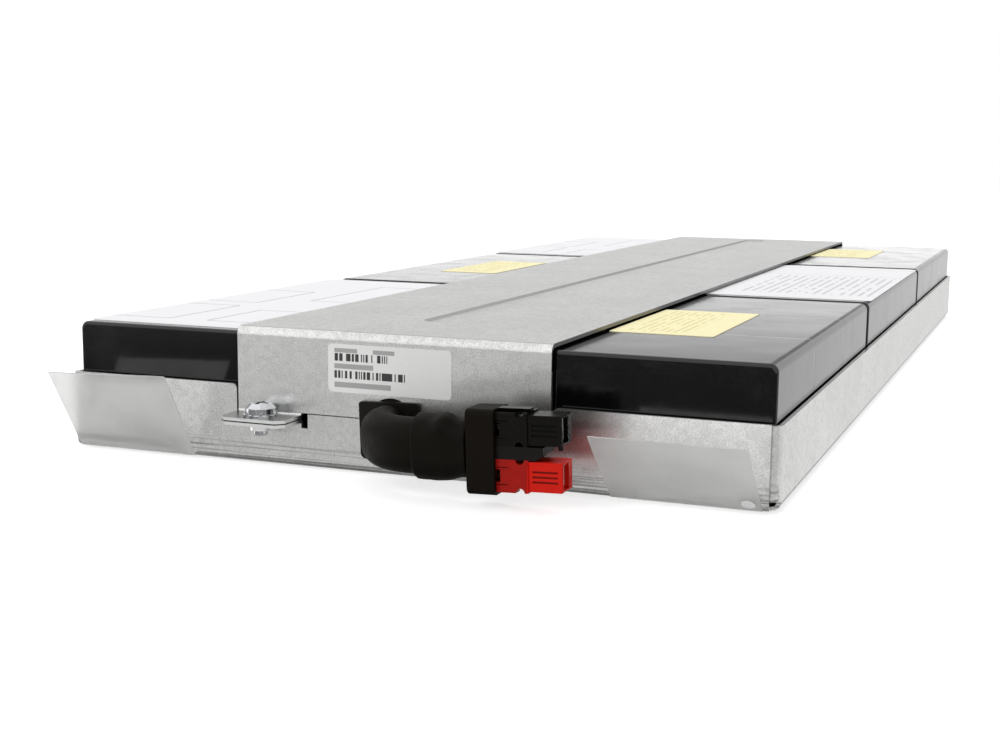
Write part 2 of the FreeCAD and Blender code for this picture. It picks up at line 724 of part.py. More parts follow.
def foam_pads():
    """Pads in the joints of each row, behind each row, and under the cover."""
    spans = {
        "left": (left + s.sheet + s.left_play + s.block_round, left_lid - s.lid_height),
        "right": (right_lid + s.lid_height, right - s.sheet - s.right_play - s.block_round),
    }
    pad_low = s.sheet + s.pad_play
    pad_high = block_top - s.block_round - s.pad_margin
    for side, (start, end) in spans.items():
        for index in range(2):
            joint = block_front + block_pitch * index + s.block_length
            box("joint_pad_%s_%d" % (side, index + 1), (start + s.pad_margin, joint, pad_low),
                (end - s.pad_margin, joint + s.block_gap, pad_high))
        row_end = block_front + block_pitch * 2 + s.block_length
        box("rear_pad_" + side, (start + s.pad_margin, row_end, s.sheet + s.bend),
            (end - s.pad_margin, rear - s.sheet - s.fold_gap - s.sheet - s.pad_play, pad_high))
    strip_start = block_front + s.block_round + s.pad_margin
    strip_end = block_front + block_pitch * 2 + s.block_length - s.block_round - s.pad_margin
    strip_top = block_top + s.cover_lift
    box("cover_strip_left", (cover_left + s.pad_margin, strip_start, block_top),
        (left_lid - s.lid_height - s.pad_margin, strip_end, strip_top))
    box("cover_strip_right", (right_lid + s.lid_height + s.pad_margin, strip_start, block_top),
        (cover_right - s.pad_margin, strip_end, strip_top))


foam_pads()


# Leads in the channel

def rounded_path(points, radii):
    """Straight runs joined by tangent arcs, one radius for each inner point.

    An inner point where the path goes straight on needs no arc.
    """
    edges = []
    start = points[0]
    for before, corner, after, radius in zip(points, points[1:], points[2:], radii):
        into = (corner - before).normalize()
        away = (after - corner).normalize()
        half_turn = into.getAngle(away) / 2
        if half_turn < 0.001:
            continue
        setback = radius * math.tan(half_turn)
        first = corner - into * setback
        last = corner + away * setback
        bisector = (away - into).normalize()
        centre = corner + bisector * (radius / math.cos(half_turn))
        middle = centre - bisector * radius
        if start.distanceToPoint(first) > 0.001:
            edges.append(Part.LineSegment(start, first).toShape())
        edges.append(Part.Arc(first, middle, last).toShape())
        start = last
    edges.append(Part.LineSegment(start, points[-1]).toShape())
    return Part.Wire(edges)


def wire_tube(points, radii=()):
    """Round wire along a path; its volume is checked against section times length."""
    path = rounded_path(points, radii)
    radius = float(s.wire_diameter) / 2
    section = Part.Wire(Part.Circle(points[0], points[1] - points[0], radius).toShape())
    tube = path.makePipeShell([section], True, True)
    expected = math.pi * radius ** 2 * path.Length
    if abs(tube.Volume - expected) > 0.01 * expected:
        raise RuntimeError("wire's volume is wrong")
    return tube


def terminal_y(side, index):
    """Where a block's terminals stand along the tray."""
    start = block_front + block_pitch * index
    if side == "right":
        return start + s.terminal_inset
    return start + s.block_length - s.terminal_inset


def receptacle(side, index, height, way):
    """A flag receptacle on a blade. Its barrel points along the channel.

    Returns its solid and the end of its barrel, where the wire goes on.
    """
    outward = 1.0 if side == "right" else -1.0
    lid_x = float(right_lid if side == "right" else left_lid)
    y = float(terminal_y(side, index))
    z = float(height)
    play = float(s.receptacle_play)
    wall = float(s.receptacle_wall)
    slot_width = float(s.blade_width) + play * 2
    slot_height = float(s.blade_thickness) + play * 2
    near_x = lid_x - outward * float(s.receptacle_lift)
    far_x = lid_x - outward * (float(s.terminal_reach) + play + wall)
    stop_x = lid_x - outward * (float(s.terminal_reach) + play)
    shell = span_box((near_x, y - slot_width / 2 - wall, z - slot_height / 2 - wall),
                     (far_x, y + slot_width / 2 + wall, z + slot_height / 2 + wall))
    slot = span_box((near_x, y - slot_width / 2, z - slot_height / 2),
                    (stop_x, y + slot_width / 2, z + slot_height / 2))
    barrel_x = lid_x - outward * float(s.barrel_offset)
    root = Vector(barrel_x, y + way * (slot_width / 2 + wall), z)
    length = float(s.barrel_length)
    barrel = Part.makeCylinder(float(s.barrel_diameter) / 2, length, root, Vector(0, way, 0))
    return shell.cut(slot).fuse(barrel), root + Vector(0, way * length, 0)


def span_box(one, two):
    """A block between any two opposite corners."""
    low = Vector(*[min(a, b) for a, b in zip(one, two)])
    size = [abs(a - b) for a, b in zip(one, two)]
    return Part.makeBox(size[0], size[1], size[2], low)


def shape_part(label, shape):
    """A sub-part whose shape is made directly, from sizes read off the sheet."""
    piece = doc.addObject("Part::Feature", label)
    piece.Label = label
    piece.Shape = shape
    piece.Placement = Placement()
    return keep(piece)


def jumper(number, height, start, end):
    """A series link between two blocks: wire with a receptacle at each end."""
    first, first_end = receptacle(start[0], start[1], height, 1.0)
    second, second_end = receptacle(end[0], end[1], height, -1.0)
    wire = wire_tube([first_end, second_end])
    solid = first.fuse([second, wire]).removeSplitter()
    shape_part("jumper_%d" % number, solid)


def channel_leads():
    """Five links in a zigzag from block to block, and the two main leads."""
    chain = [(side, index) for index in range(3) for side in ("right", "left")]
    for number in range(1, len(chain)):
        height = lower_terminal if number % 2 else upper_terminal
        jumper(number, height, chain[number - 1], chain[number])

    exit_y = float(front + s.sheet + s.grommet_lip + s.fold_gap)
    bend = float(s.wire_bend)
    exit_bend = float(s.exit_bend)
    rise = (float(s.lead_height) - float(s.lead_width)) / 2
    low_z = float(s.exit_height) - rise - bend / 2
    high_z = float(s.exit_height) + rise + bend / 2
    run_z = float(lower_terminal + s.lead_run)

    plug, start = receptacle("right", 0, upper_terminal, -1.0)
    dip_y = start.y
    turn_y = start.y - bend
    lane = float(channel - s.lane_shift)
    clear_z = max(high_z, run_z) + float(s.wire_diameter)
    red = wire_tube([start, Vector(start.x, turn_y, start.z), Vector(lane, turn_y, clear_z),
                     Vector(lane, turn_y, low_z), Vector(lane, exit_y, low_z)],
                    [bend, bend, exit_bend])
    shape_part("main_lead_positive", plug.fuse(red).removeSplitter())

    plug, start = receptacle("left", 2, upper_terminal, -1.0)
    lane = float(channel + s.lane_shift)
    drop_y = start.y - bend
    level_y = drop_y - bend * 3
    black = wire_tube([start, Vector(start.x, drop_y, start.z), Vector(lane, level_y, run_z),
                       Vector(lane, dip_y, run_z), Vector(lane, exit_y + exit_bend, high_z),
                       Vector(lane, exit_y, high_z)], [bend, bend, bend, exit_bend])
    shape_part("main_lead_negative", plug.fuse(black).removeSplitter())


channel_leads()


# Fixing screw and washer

def screw():
    """Pan-head screw with a cross recess, through both tabs."""
    body = new_body("fixing_screw")
    head_foot = tab_top + s.washer_thickness
    head_top = head_foot + s.head_height
    tip = s.tab_height - s.sheet - s.collar_height - s.screw_tip
    profile = new_sketch(body, "XZ")
    radius = s.screw_diameter / 2
    polygon(profile, [
        (0, tip), (radius - s.thread_cut, tip), (radius, tip + s.thread_cut),
        (radius, head_foot), (s.head_diameter / 2, head_foot),
        (s.head_diameter / 2, head_foot + s.head_rim),
        (s.crown_diameter / 2, head_top - s.head_crown),
        (0, head_top),
    ])
    turned = body.newObject("PartDesign::Revolution", "screw_turned")
    turned.Profile = profile
    turned.ReferenceAxis = (profile, ["V_Axis"])
    turned.Angle = 360.0
    profile.Visibility = False
    doc.recompute()
    recess = new_sketch(body, "XY", head_top)
    arm = s.recess_length / 2
    half = s.recess_width / 2
    polygon(recess, [
        (arm, -half), (arm, half), (half, half), (half, arm), (-half, arm), (-half, half),
        (-arm, half), (-arm, -half), (-half, -half), (-half, -arm), (half, -arm), (half, -half),
    ])
    pocket(body, recess, s.recess_depth)
    place_at(body, screw_x, screw_y, 0)


def toothed_washer():
    """External-tooth lock washer under the screw's head."""
    body = new_body("toothed_washer")
    ring = new_sketch(body, "XY")
    circle(ring, (0, 0), s.washer_diameter / 2)
    circle(ring, (0, 0), s.screw_diameter / 2 + s.screw_play)
    pad(body, ring, s.washer_thickness)
    gap = new_sketch(body, "XY", s.washer_thickness)
    outer = s.washer_diameter / 2 + s.washer_thickness
    inner = s.washer_diameter / 2 - s.tooth_length
    wide = s.tooth_gap / 2
    narrow = s.tooth_root_gap / 2
    polygon(gap, [(inner, -narrow), (outer, -wide), (outer, wide), (inner, narrow)])
    notch = pocket(body, gap, s.washer_thickness)
    teeth = body.newObject("PartDesign::PolarPattern", "washer_teeth")
    teeth.Originals = [notch]
    teeth.Axis = (gap, ["N_Axis"])
    teeth.Angle = 360.0
    teeth.Occurrences = 12
    body.Tip = teeth
    doc.recompute()
    place_at(body, screw_x, screw_y, tab_top)


screw()
toothed_washer()


# The lead in front of the wall. Its pieces share one frame: origin where the lead's middle
# leaves the front wall, X along the lead, turned up a little toward the connectors.

def lay_lead_piece(piece):
    place_at(piece, s.exit_along, front, s.exit_height, Vector(0, -1, 0), s.lead_tilt)
    piece.setExpression("Placement.Rotation.Angle", s.lead_tilt.text)


boot_start = s.sleeve_start + s.sleeve_length
boot_end = boot_start + s.boot_length
housing_start = boot_start + s.boot_back
nose_start = housing_start + s.housing_length - s.nose_length
housing_end = housing_start + s.housing_length
stack_half = s.spacer_height / 2 + s.housing_side
lead_inner = s.sheet + s.fold_gap + s.grommet_lip


def lead_oval(sketch, width, height, middle=0.0):
    """The lead's upright oval section, about a middle line."""
    rise = (height - width) / 2
    stadium(sketch, (middle, -rise), (middle, rise), width / 2)


def exit_grommet():
    """Moulded grommet: front plate, neck through the wall and a lip behind it."""
    body = new_body("exit_grommet")
    plate = new_sketch(body, "XZ")
    rectangle(plate, (-s.grommet_width / 2, -s.grommet_height / 2),
              (s.grommet_width / 2, s.grommet_height / 2))
    pad(body, plate, s.grommet_plate)
    top = s.grommet_height / 2
    round_edges(body, s.grommet_plate, lambda b: b.YLength > 1 and near(b.ZMin, -top))
    round_edges(body, s.grommet_round, lambda b: b.YLength > 1 and near(b.ZMin, top))
    neck = new_sketch(body, "XZ")
    neck_width = s.lead_width + s.grommet_wall * 2
    neck_height = s.lead_height + s.grommet_wall * 2
    lead_oval(neck, neck_width, neck_height)
    pad(body, neck, s.sheet + s.fold_gap, backward=True)
    lip = new_sketch(body, "XZ", -s.sheet - s.fold_gap)
    lead_oval(lip, neck_width + s.grommet_hold * 2, neck_height + s.grommet_hold * 2)
    pad(body, lip, s.grommet_lip, backward=True)
    hole = new_sketch(body, "XZ", s.grommet_plate)
    lead_oval(hole, s.lead_width + s.boot_play * 2, s.lead_height + s.boot_play * 2)
    pocket(body, hole, s.grommet_plate + lead_inner)
    lay_lead_piece(body)


def lead_elbow():
    """Shrink tube over the two conductors, out of the wall and round to the right."""
    body = new_body("lead_elbow")
    section = new_sketch(body, "XZ", -lead_inner)
    lead_oval(section, s.lead_width, s.lead_height)
    route = new_sketch(body, "XY")
    turn_y = s.lead_bend - s.lead_standoff
    inner = route.addGeometry(Part.LineSegment(Vector(0, lead_inner.value, 0), Vector(0, turn_y.value, 0)))
    bend_circle = Part.Circle(as_vector((s.lead_bend, turn_y)), Vector(0, 0, 1), s.lead_bend.value)
    corner = route.addGeometry(Part.ArcOfCircle(bend_circle, math.pi, math.pi * 1.5))
    outer = route.addGeometry(Part.LineSegment(as_vector((s.lead_bend, -s.lead_standoff)),
                                               as_vector((s.sleeve_start, -s.lead_standoff))))
    pin_point(route, inner, 1, (0, lead_inner))
    pin_point(route, corner, 3, (s.lead_bend, turn_y))
    pin_point(route, outer, 2, (s.sleeve_start, -s.lead_standoff))
    route.addConstraint(Sketcher.Constraint("Tangent", inner, 2, corner, 1))
    route.addConstraint(Sketcher.Constraint("Tangent", corner, 2, outer, 1))
    bind_radius(route, corner, s.lead_bend)
    pipe = body.newObject("PartDesign::AdditivePipe", "elbow_pipe")
    pipe.Profile = section
    pipe.Spine = (route, ["Edge1", "Edge2", "Edge3"])
    for sketch in (section, route):
        sketch.Visibility = False
    doc.recompute()
    lay_lead_piece(body)


def lead_sleeve():
    """Wider shrink sleeve between the elbow and the boot, with a soft bulge."""
    body = new_body("lead_sleeve")
    stations = [
        (0.0, 0.0), (0.16, 1.0), (0.42, 0.8), (0.6, 2.0), (0.82, 0.9), (1.0, 1.2),
    ]
    sketches = []
    for share, swell in stations:
        sketch = new_sketch(body, "YZ", s.sleeve_start + s.sleeve_length * share)
        grow = s.sleeve_swell * swell
        lead_oval(sketch, s.sleeve_width + grow, s.sleeve_height + grow, -s.lead_standoff)
        sketch.Visibility = False
        sketches.append(sketch)
    doc.recompute()
    loft = body.newObject("PartDesign::AdditiveLoft", "sleeve_loft")
    loft.Profile = sketches[0]
    loft.Sections = sketches[1:]
    doc.recompute()
    lay_lead_piece(body)


def connector_boot():
    """Rectangular boot that grips both housings and the key between them."""
    body = new_body("connector_boot")
    half_depth = s.housing_side / 2 + s.boot_cheek
    half_height = stack_half + s.boot_wall
    outline = new_sketch(body, "YZ", boot_start)
    rectangle(outline, (-s.lead_standoff - half_depth, -half_height),
              (-s.lead_standoff + half_depth, half_height))
    pad(body, outline, s.boot_length)
    round_edges(body, s.boot_round, lambda b: b.XLength > 1)
    round_edges(body, s.boot_shoulder, lambda b: near(b.XMax, boot_start))
    mouth = new_sketch(body, "YZ", boot_end)
    half_mouth = s.housing_side / 2 + s.boot_play
    rectangle(mouth, (-s.lead_standoff - half_mouth, -stack_half - s.boot_play),
              (-s.lead_standoff + half_mouth, stack_half + s.boot_play))
    pocket(body, mouth, s.boot_length - s.boot_back)
    lay_lead_piece(body)


def rib_profile(foot, play):
    """A sliding rib that widens upward from its foot, grown by the play if it is a groove."""
    middle = -s.lead_standoff
    top_half = s.dovetail_width / 2 + play
    foot_half = top_half - s.dovetail_flare
    return [
        (middle - foot_half, foot), (middle + foot_half, foot),
        (middle + top_half, foot + s.dovetail_depth + play),
        (middle - top_half, foot + s.dovetail_depth + play),
    ]


def add_rib(body, foot):
    """A sliding rib on top of a connector piece, outside the boot."""
    start = boot_end + s.boot_play
    sketch = new_sketch(body, "YZ", start)
    polygon(sketch, rib_profile(foot, 0.0))
    pad(body, sketch, nose_start - start)


def cut_groove(body, foot):
    """The groove for the rib of the piece below."""
    start = boot_end
    sketch = new_sketch(body, "YZ", nose_start)
    polygon(sketch, rib_profile(foot, s.dovetail_play))
    pocket(body, sketch, nose_start - start)


def connector_housing(label, middle_z):
    """Single-pole power connector housing: square body, hooded nose with a mating slot."""
    body = new_body(label)
    middle_y = -s.lead_standoff
    half = s.housing_side / 2
    nose_half = s.nose_side / 2
    front_y = middle_y - half
    nose_y = middle_y - nose_half

    trunk = new_sketch(body, "YZ", housing_start)
    rectangle(trunk, (middle_y - half, middle_z - half), (middle_y + half, middle_z + half))
    pad(body, trunk, s.housing_length - s.nose_length)
    nose = new_sketch(body, "YZ", nose_start)
    rectangle(nose, (nose_y, middle_z - nose_half), (middle_y + nose_half, middle_z + nose_half))
    pad(body, nose, s.nose_length)
    round_edges(body, s.nose_round, lambda b: near(b.XMin, housing_end))

    slot = new_sketch(body, "YZ", housing_end)
    slot_low = (nose_y + s.slot_front, middle_z - s.slot_height / 2)
    slot_high = (nose_y + s.slot_front + s.slot_width, middle_z + s.slot_height / 2)
    rectangle(slot, slot_low, slot_high)
    pocket(body, slot, s.nose_length + s.bore_end)
    bore = new_sketch(body, "YZ", housing_start)
    bore_half = s.bore_side / 2
    rectangle(bore, (middle_y - bore_half, middle_z - bore_half),
              (middle_y + bore_half, middle_z + bore_half))
    pocket(body, bore, s.housing_length - s.nose_length - s.bore_end, backward=True)

    grip_grooves(body, middle_z, nose_y)
    latch_window(body, middle_z, front_y)
    notches = new_sketch(body, "XZ", -middle_y)
    for z in (middle_z - half, middle_z + half):
        circle(notches, (nose_start - s.pin_inset, z), s.pin_notch)
    pocket(body, notches, s.housing_side, both_ways=True)
    cut_groove(body, middle_z - half)
    add_rib(body, middle_z + half)
    lay_lead_piece(body)


def grip_grooves(body, middle_z, nose_y):
    """Three lengthwise grooves on the nose's front face."""
    half = s.groove_width / 2
    start = nose_start + s.groove_start
    sketch = new_sketch(body, "XZ", -nose_y)
    for step in (-1, 0, 1):
        z = middle_z + s.groove_pitch * step
        rectangle(sketch, (start, z - half), (start + s.groove_length, z + half))
    pocket(body, sketch, s.groove_depth)


def latch_window(body, middle_z, front_y):
    """The contact spring's window at the boot, with the moulded lines of its tongue."""
    window = new_sketch(body, "XZ", -front_y)
    window_half = s.window_height / 2
    rectangle(window, (boot_end - s.window_length / 2, middle_z - window_half),
              (boot_end + s.window_length / 2, middle_z + window_half))
    pocket(body, window, s.housing_side / 2 - s.bore_side / 2)
    lines = new_sketch(body, "XZ", -front_y)
    for side in (-1, 1):
        z = middle_z + s.tongue_height / 2 * side
        rectangle(lines, (boot_end, z - s.tongue_line / 2),
                  (boot_end + s.tongue_length, z + s.tongue_line / 2))
    pocket(body, lines, s.tongue_line)


def connector_key(label):
    """The key that holds the two housings apart, with a nose cut back underneath."""
    body = new_body(label)
    half = s.spacer_height / 2
    nose_end = nose_start + s.spacer_nose
    profile = new_sketch(body, "XZ", s.lead_standoff)
    polygon(profile, [
        (housing_start, -half), (nose_start + s.spacer_nose / 2, -half),
        (nose_end, s.spacer_cut - half), (nose_end, half), (housing_start, half),
    ])
    pad(body, profile, s.housing_side, both_ways=True)
    cut_groove(body, -half)
    add_rib(body, half)
    lay_lead_piece(body)


def key_post():
    """The small stop post under the black nose, ahead of the key."""
    body = new_body("stop_post")
    top = s.spacer_height / 2 + s.housing_side / 2 - s.nose_side / 2
    sketch = new_sketch(body, "XY", top)
    circle(sketch, (nose_start + s.post_along, -s.lead_standoff), s.post_diameter / 2)
    pad(body, sketch, s.spacer_height / 2, backward=True)
    lay_lead_piece(body)


def contact(label, middle_z):
    """Crimp barrel in the bore and a flat blade on the slot's rear wall, with a bent tip."""
    body = new_body(label)
    middle_y = -s.lead_standoff
    slot_back = middle_y - s.nose_side / 2 + s.slot_front + s.slot_width
    blade_front = slot_back - s.boot_play - s.contact_thickness
    barrel = new_sketch(body, "YZ", housing_start + s.boot_back)
    circle(barrel, (middle_y, middle_z), s.contact_barrel / 2)
    barrel_length = s.housing_length - s.nose_length - s.bore_end - s.boot_back * 2
    pad(body, barrel, barrel_length)
    blade = new_sketch(body, "YZ", housing_start + s.boot_back)
    rectangle(blade, (blade_front, middle_z - s.contact_width / 2),
              (blade_front + s.contact_thickness, middle_z + s.contact_width / 2))
    pad(body, blade, s.housing_length - s.boot_back - s.contact_inset)
    tip_x = housing_end - s.contact_inset
    round_edges(body, s.contact_tip, lambda b: along_z(b, tip_x, blade_front))
    lay_lead_piece(body)


exit_grommet()
lead_elbow()
lead_sleeve()
connector_boot()
for colour, way in (("red", -1), ("black", 1)):
    stack_place = (s.spacer_height + s.housing_side) / 2 * way
    connector_housing("connector_housing_" + colour, stack_place)
    contact("contact_" + colour, stack_place)
connector_key("connector_key")
key_post()


# Pull tabs of clear film

def film_tab(label, lean, start_x):
    """A film glued round the tray's front fold that leaves it on a tangent and leans out."""
    body = new_body(label)
    sketch = new_sketch(body, "YZ", start_x)
    centre = Vector((front + fold).value, fold.value, 0)
    inner = fold + s.film_bond
    outer = inner + s.film_thickness
    start = math.radians(270.0 - s.film_root.value)
    end = math.radians(180.0 + lean.value)

    def spot(radius, angle):
        return centre + Vector(math.cos(angle), math.sin(angle), 0) * radius.value

    away = Vector(-math.sin(lean.value * math.pi / 180), math.cos(lean.value * math.pi / 180), 0)
    free = away * s.film_length.value
    arc_in = Part.ArcOfCircle(Part.Circle(centre, Vector(0, 0, 1), inner.value), end, start)
    arc_out = Part.ArcOfCircle(Part.Circle(centre, Vector(0, 0, 1), outer.value), end, start)
    near_face = Part.LineSegment(spot(inner, end), spot(inner, end) + free)
    far_face = Part.LineSegment(spot(outer, end), spot(outer, end) + free)
    tip = Part.LineSegment(spot(inner, end) + free, spot(outer, end) + free)
    root = Part.LineSegment(spot(inner, start), spot(outer, start))
    one, two, three, four, five, six = [
        sketch.addGeometry(item, False) for item in (arc_in, near_face, tip, far_face, arc_out, root)
    ]
    rules = [
        Sketcher.Constraint("Tangent", one, 1, two, 1),
        Sketcher.Constraint("Coincident", two, 2, three, 1),
        Sketcher.Constraint("Coincident", three, 2, four, 2),
        Sketcher.Constraint("Tangent", four, 1, five, 1),
        Sketcher.Constraint("Coincident", five, 2, six, 2),
        Sketcher.Constraint("Coincident", six, 1, one, 2),
        Sketcher.Constraint("Coincident", one, 3, five, 3),
        Sketcher.Constraint("Perpendicular", two, three),
        Sketcher.Constraint("PointOnObject", one, 3, six),
    ]
    for rule in rules:
        sketch.addConstraint(rule)
    pin_point(sketch, one, 3, (front + fold, fold))
    bind_radius(sketch, one, inner)
    bind_radius(sketch, five, outer)
    length_rule = sketch.addConstraint(Sketcher.Constraint("Distance", two, s.film_length.value))
    sketch.setExpression("Constraints[%d]" % length_rule, s.film_length.text)
    lean_angle = (lean + 90.0) / 180.0 * math.pi
    lean_rule = sketch.addConstraint(Sketcher.Constraint("Angle", two, lean_angle.value))
    sketch.setExpression("Constraints[%d]" % lean_rule, "%s * 1 deg" % (lean + 90.0).text)
    root_angle = math.radians(270.0 - s.film_root.value)
    root_rule = sketch.addConstraint(Sketcher.Constraint("Angle", six, root_angle))
    sketch.setExpression("Constraints[%d]" % root_rule, "(270 - %s) * 1 deg" % s.film_root.text)
    pad(body, sketch, s.film_width)


film_tab("film_tab_left", s.film_left_lean, left + s.film_left_inset)
film_tab("film_tab_right", s.film_right_lean, right - s.film_right_inset - s.film_width)


# Check everything, then write one file for each sub-part.

doc.recompute()
for item in doc.Objects:
    if "Invalid" in item.State or "Error" in item.State:
        raise RuntimeError("failed object: %s %s" % (item.Label, item.State))
for piece in parts:
    if piece.Shape.isNull() or not piece.Shape.isValid():
        raise RuntimeError("bad shape: " + piece.Label)
    if len(piece.Shape.Solids) != 1:
        raise RuntimeError("%s has %d solids" % (piece.Label, len(piece.Shape.Solids)))

os.makedirs("parts", exist_ok=True)
for piece in parts:
    piece.Shape.exportStep("parts/%s.step" % piece.Label)
print("wrote %d parts" % len(parts))
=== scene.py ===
import math

import bmesh
import bpy
from mathutils import Matrix, Vector, noise


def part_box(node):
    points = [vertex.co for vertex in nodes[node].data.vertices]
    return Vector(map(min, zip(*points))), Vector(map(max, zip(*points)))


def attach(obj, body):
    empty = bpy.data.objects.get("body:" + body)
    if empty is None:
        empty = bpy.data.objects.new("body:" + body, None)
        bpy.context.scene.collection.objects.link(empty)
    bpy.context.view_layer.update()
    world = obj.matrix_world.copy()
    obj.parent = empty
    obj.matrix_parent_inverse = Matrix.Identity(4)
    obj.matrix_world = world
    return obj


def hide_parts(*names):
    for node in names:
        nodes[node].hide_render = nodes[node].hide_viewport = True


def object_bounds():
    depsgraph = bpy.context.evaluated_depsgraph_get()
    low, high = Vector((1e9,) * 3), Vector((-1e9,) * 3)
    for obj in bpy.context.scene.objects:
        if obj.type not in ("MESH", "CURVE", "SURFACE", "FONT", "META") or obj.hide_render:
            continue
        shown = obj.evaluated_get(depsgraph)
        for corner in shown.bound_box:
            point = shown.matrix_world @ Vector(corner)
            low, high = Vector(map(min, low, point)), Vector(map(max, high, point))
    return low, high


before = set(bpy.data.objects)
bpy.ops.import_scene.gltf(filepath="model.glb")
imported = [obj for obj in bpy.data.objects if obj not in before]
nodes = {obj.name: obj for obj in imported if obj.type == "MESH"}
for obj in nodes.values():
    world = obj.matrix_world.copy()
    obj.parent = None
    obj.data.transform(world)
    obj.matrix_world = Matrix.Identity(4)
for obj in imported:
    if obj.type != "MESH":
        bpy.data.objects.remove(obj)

cadLow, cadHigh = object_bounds()
mm = 0.001


# small helpers: colours, shader nodes, meshes

def linear(hexColour, factor=1.0):
    channels = [int(hexColour[i:i + 2], 16) / 255 for i in (1, 3, 5)]
    straight = [c / 12.92 if c <= 0.04045 else ((c + 0.055) / 1.055) ** 2.4 for c in channels]
    return tuple(factor * c for c in straight) + (1.0,)


def addNode(tree, kind, settings=None):
    # a setting is an attribute, an input's value, or the node or socket that feeds the input
    node = tree.nodes.new("ShaderNode" + kind)
    for name, value in (settings or {}).items():
        if isinstance(value, bpy.types.Node):
            value = next(socket for socket in value.outputs if socket.enabled)
        if isinstance(value, bpy.types.NodeSocket):
            tree.links.new(value, node.inputs[name])
        elif isinstance(name, str) and hasattr(node, name):
            setattr(node, name, value)
        else:
            node.inputs[name].default_value = value
    return node


def newMaterial(name, look):
    # look builds the pattern in the tree and gives the settings of the shader
    material = bpy.data.materials.new(name)
    material.use_nodes = True
    tree = material.node_tree
    tree.nodes.clear()
    shader = addNode(tree, "BsdfPrincipled", look(tree))
    addNode(tree, "OutputMaterial", {"Surface": shader})
    return material


def placeOn(tree, centre=(0, 0, 0), turn=(0, 0, 0)):
    # object coordinates in millimetres from a centre
    place = addNode(tree, "TexCoord").outputs["Object"]
    return addNode(tree, "Mapping", {"vector_type": "TEXTURE", "Location": tuple(centre), "Rotation": turn,
                                     "Scale": (mm, mm, mm), "Vector": place})


def together(tree, operation, masks):
    # MAXIMUM is where any of the masks is, MULTIPLY where all of them are
    total = masks[0]
    for mask in masks[1:]:
        total = addNode(tree, "Math", {"operation": operation, 0: total, 1: mask})
    return total


def paint(material, *names):
    for name in names:
        slots = nodes[name].data.materials
        slots.clear()
        slots.append(material)


def finishPiece(name, bm, material, replaced=(), smooth=True):
    # turn a finished bmesh into a piece that rides on the cartridge
    mesh = bpy.data.meshes.new(name)
    for face in bm.faces:
        face.smooth = smooth
    bm.to_mesh(mesh)
    bm.free()
    mesh.materials.append(material)
    piece = bpy.data.objects.new(name, mesh)
    bpy.context.scene.collection.objects.link(piece)
    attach(piece, "root")
    if replaced:
        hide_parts(*replaced)
    return piece


def named(start):
    return [name for name in sorted(nodes) if name.startswith(start)]


# camera, at the height of a hand above the bench and to the right of the front

cameraView = {"place": (0.16085, -0.56625, 0.08332), "lens": 52.50, "turn": 21.495, "tip": 8.759,
              "roll": 0.576}

camera = bpy.data.objects.new("camera", bpy.data.cameras.new("camera"))
camera.data.sensor_width = 36
camera.data.lens = cameraView["lens"]
camera.data.clip_start = 0.01
bpy.context.scene.collection.objects.link(camera)
camera.matrix_world = (Matrix.Translation(cameraView["place"])
                       @ Matrix.Rotation(math.radians(cameraView["turn"]), 4, "Z")
                       @ Matrix.Rotation(math.radians(90 - cameraView["tip"]), 4, "X")
                       @ Matrix.Rotation(math.radians(cameraView["roll"]), 4, "Z"))
bpy.context.scene.camera = camera
bpy.context.scene.view_settings.view_transform = "Standard"
print("camera placed")


# studio: a white room with one broad lamp above and one to the front left. Glossy faces mirror a
# bright strip low behind, a dull wall above it, a lighter ceiling, side and front, a dull bench, and
# a dark band low in front

studio = {
    "ambient": 0.55, "horizon": 1.6, "wall": 0.35, "ceiling": 1.12, "side": 0.9, "front": 1.2,
    "lowFront": 0.12, "bench": 0.33,
    "floorLift": 0.62, "floorColour": "#d8d8d8", "floorSize": 6.0, "floorGap": 0.6 * mm,
    "masks": {  # axis of the look, then where the mask is 0 and where it is 1
        "frontward": (1, -0.1, -0.45), "belowEdge": (2, -0.06, -0.13), "aboveBench": (2, -0.29, -0.23),
        "rising": (2, 0.045, 0.18), "overhead": (2, 0.2, 0.5), "rightward": (0, 0.0, 0.06),
        "downward": (2, -0.3, -0.5)},
}

world = bpy.data.worlds.new("whiteRoom")
world.use_nodes = True
tree = world.node_tree
tree.nodes.clear()
ray = addNode(tree, "LightPath").outputs
looking = addNode(tree, "TexCoord").outputs["Generated"]
look = addNode(tree, "SeparateXYZ", {0: looking}).outputs
masks = {}
for name, (axis, start, end) in studio["masks"].items():
    masks[name] = addNode(tree, "MapRange", {"interpolation_type": "SMOOTHSTEP", 0: look[axis], 1: start,
                                             2: end})
behind = addNode(tree, "Mix", {0: masks["rising"], 2: studio["horizon"], 3: studio["wall"]})
above = addNode(tree, "Mix", {0: masks["overhead"], 2: behind, 3: studio["ceiling"]})
beside = addNode(tree, "Mix", {0: masks["rightward"], 2: above, 3: studio["side"]})
around = addNode(tree, "Mix", {0: masks["frontward"], 2: beside, 3: studio["front"]})
walls = addNode(tree, "Mix", {0: masks["downward"], 2: around, 3: studio["bench"]})
lowFront = together(tree, "MULTIPLY", [masks["frontward"], masks["belowEdge"], masks["aboveBench"]])
mirrored = addNode(tree, "Mix", {0: lowFront, 2: walls, 3: studio["lowFront"]})
skyLight = addNode(tree, "Mix", {0: ray["Is Glossy Ray"], 2: studio["ambient"], 3: mirrored})
seen = together(tree, "MAXIMUM", [ray["Is Camera Ray"], ray["Is Transmission Ray"]])
strength = addNode(tree, "Mix", {0: seen, 2: skyLight, 3: 1.0})
sky = addNode(tree, "Background", {"Color": (1.0, 1.0, 1.0, 1.0), "Strength": strength})
addNode(tree, "OutputWorld", {"Surface": sky})
bpy.context.scene.world = world

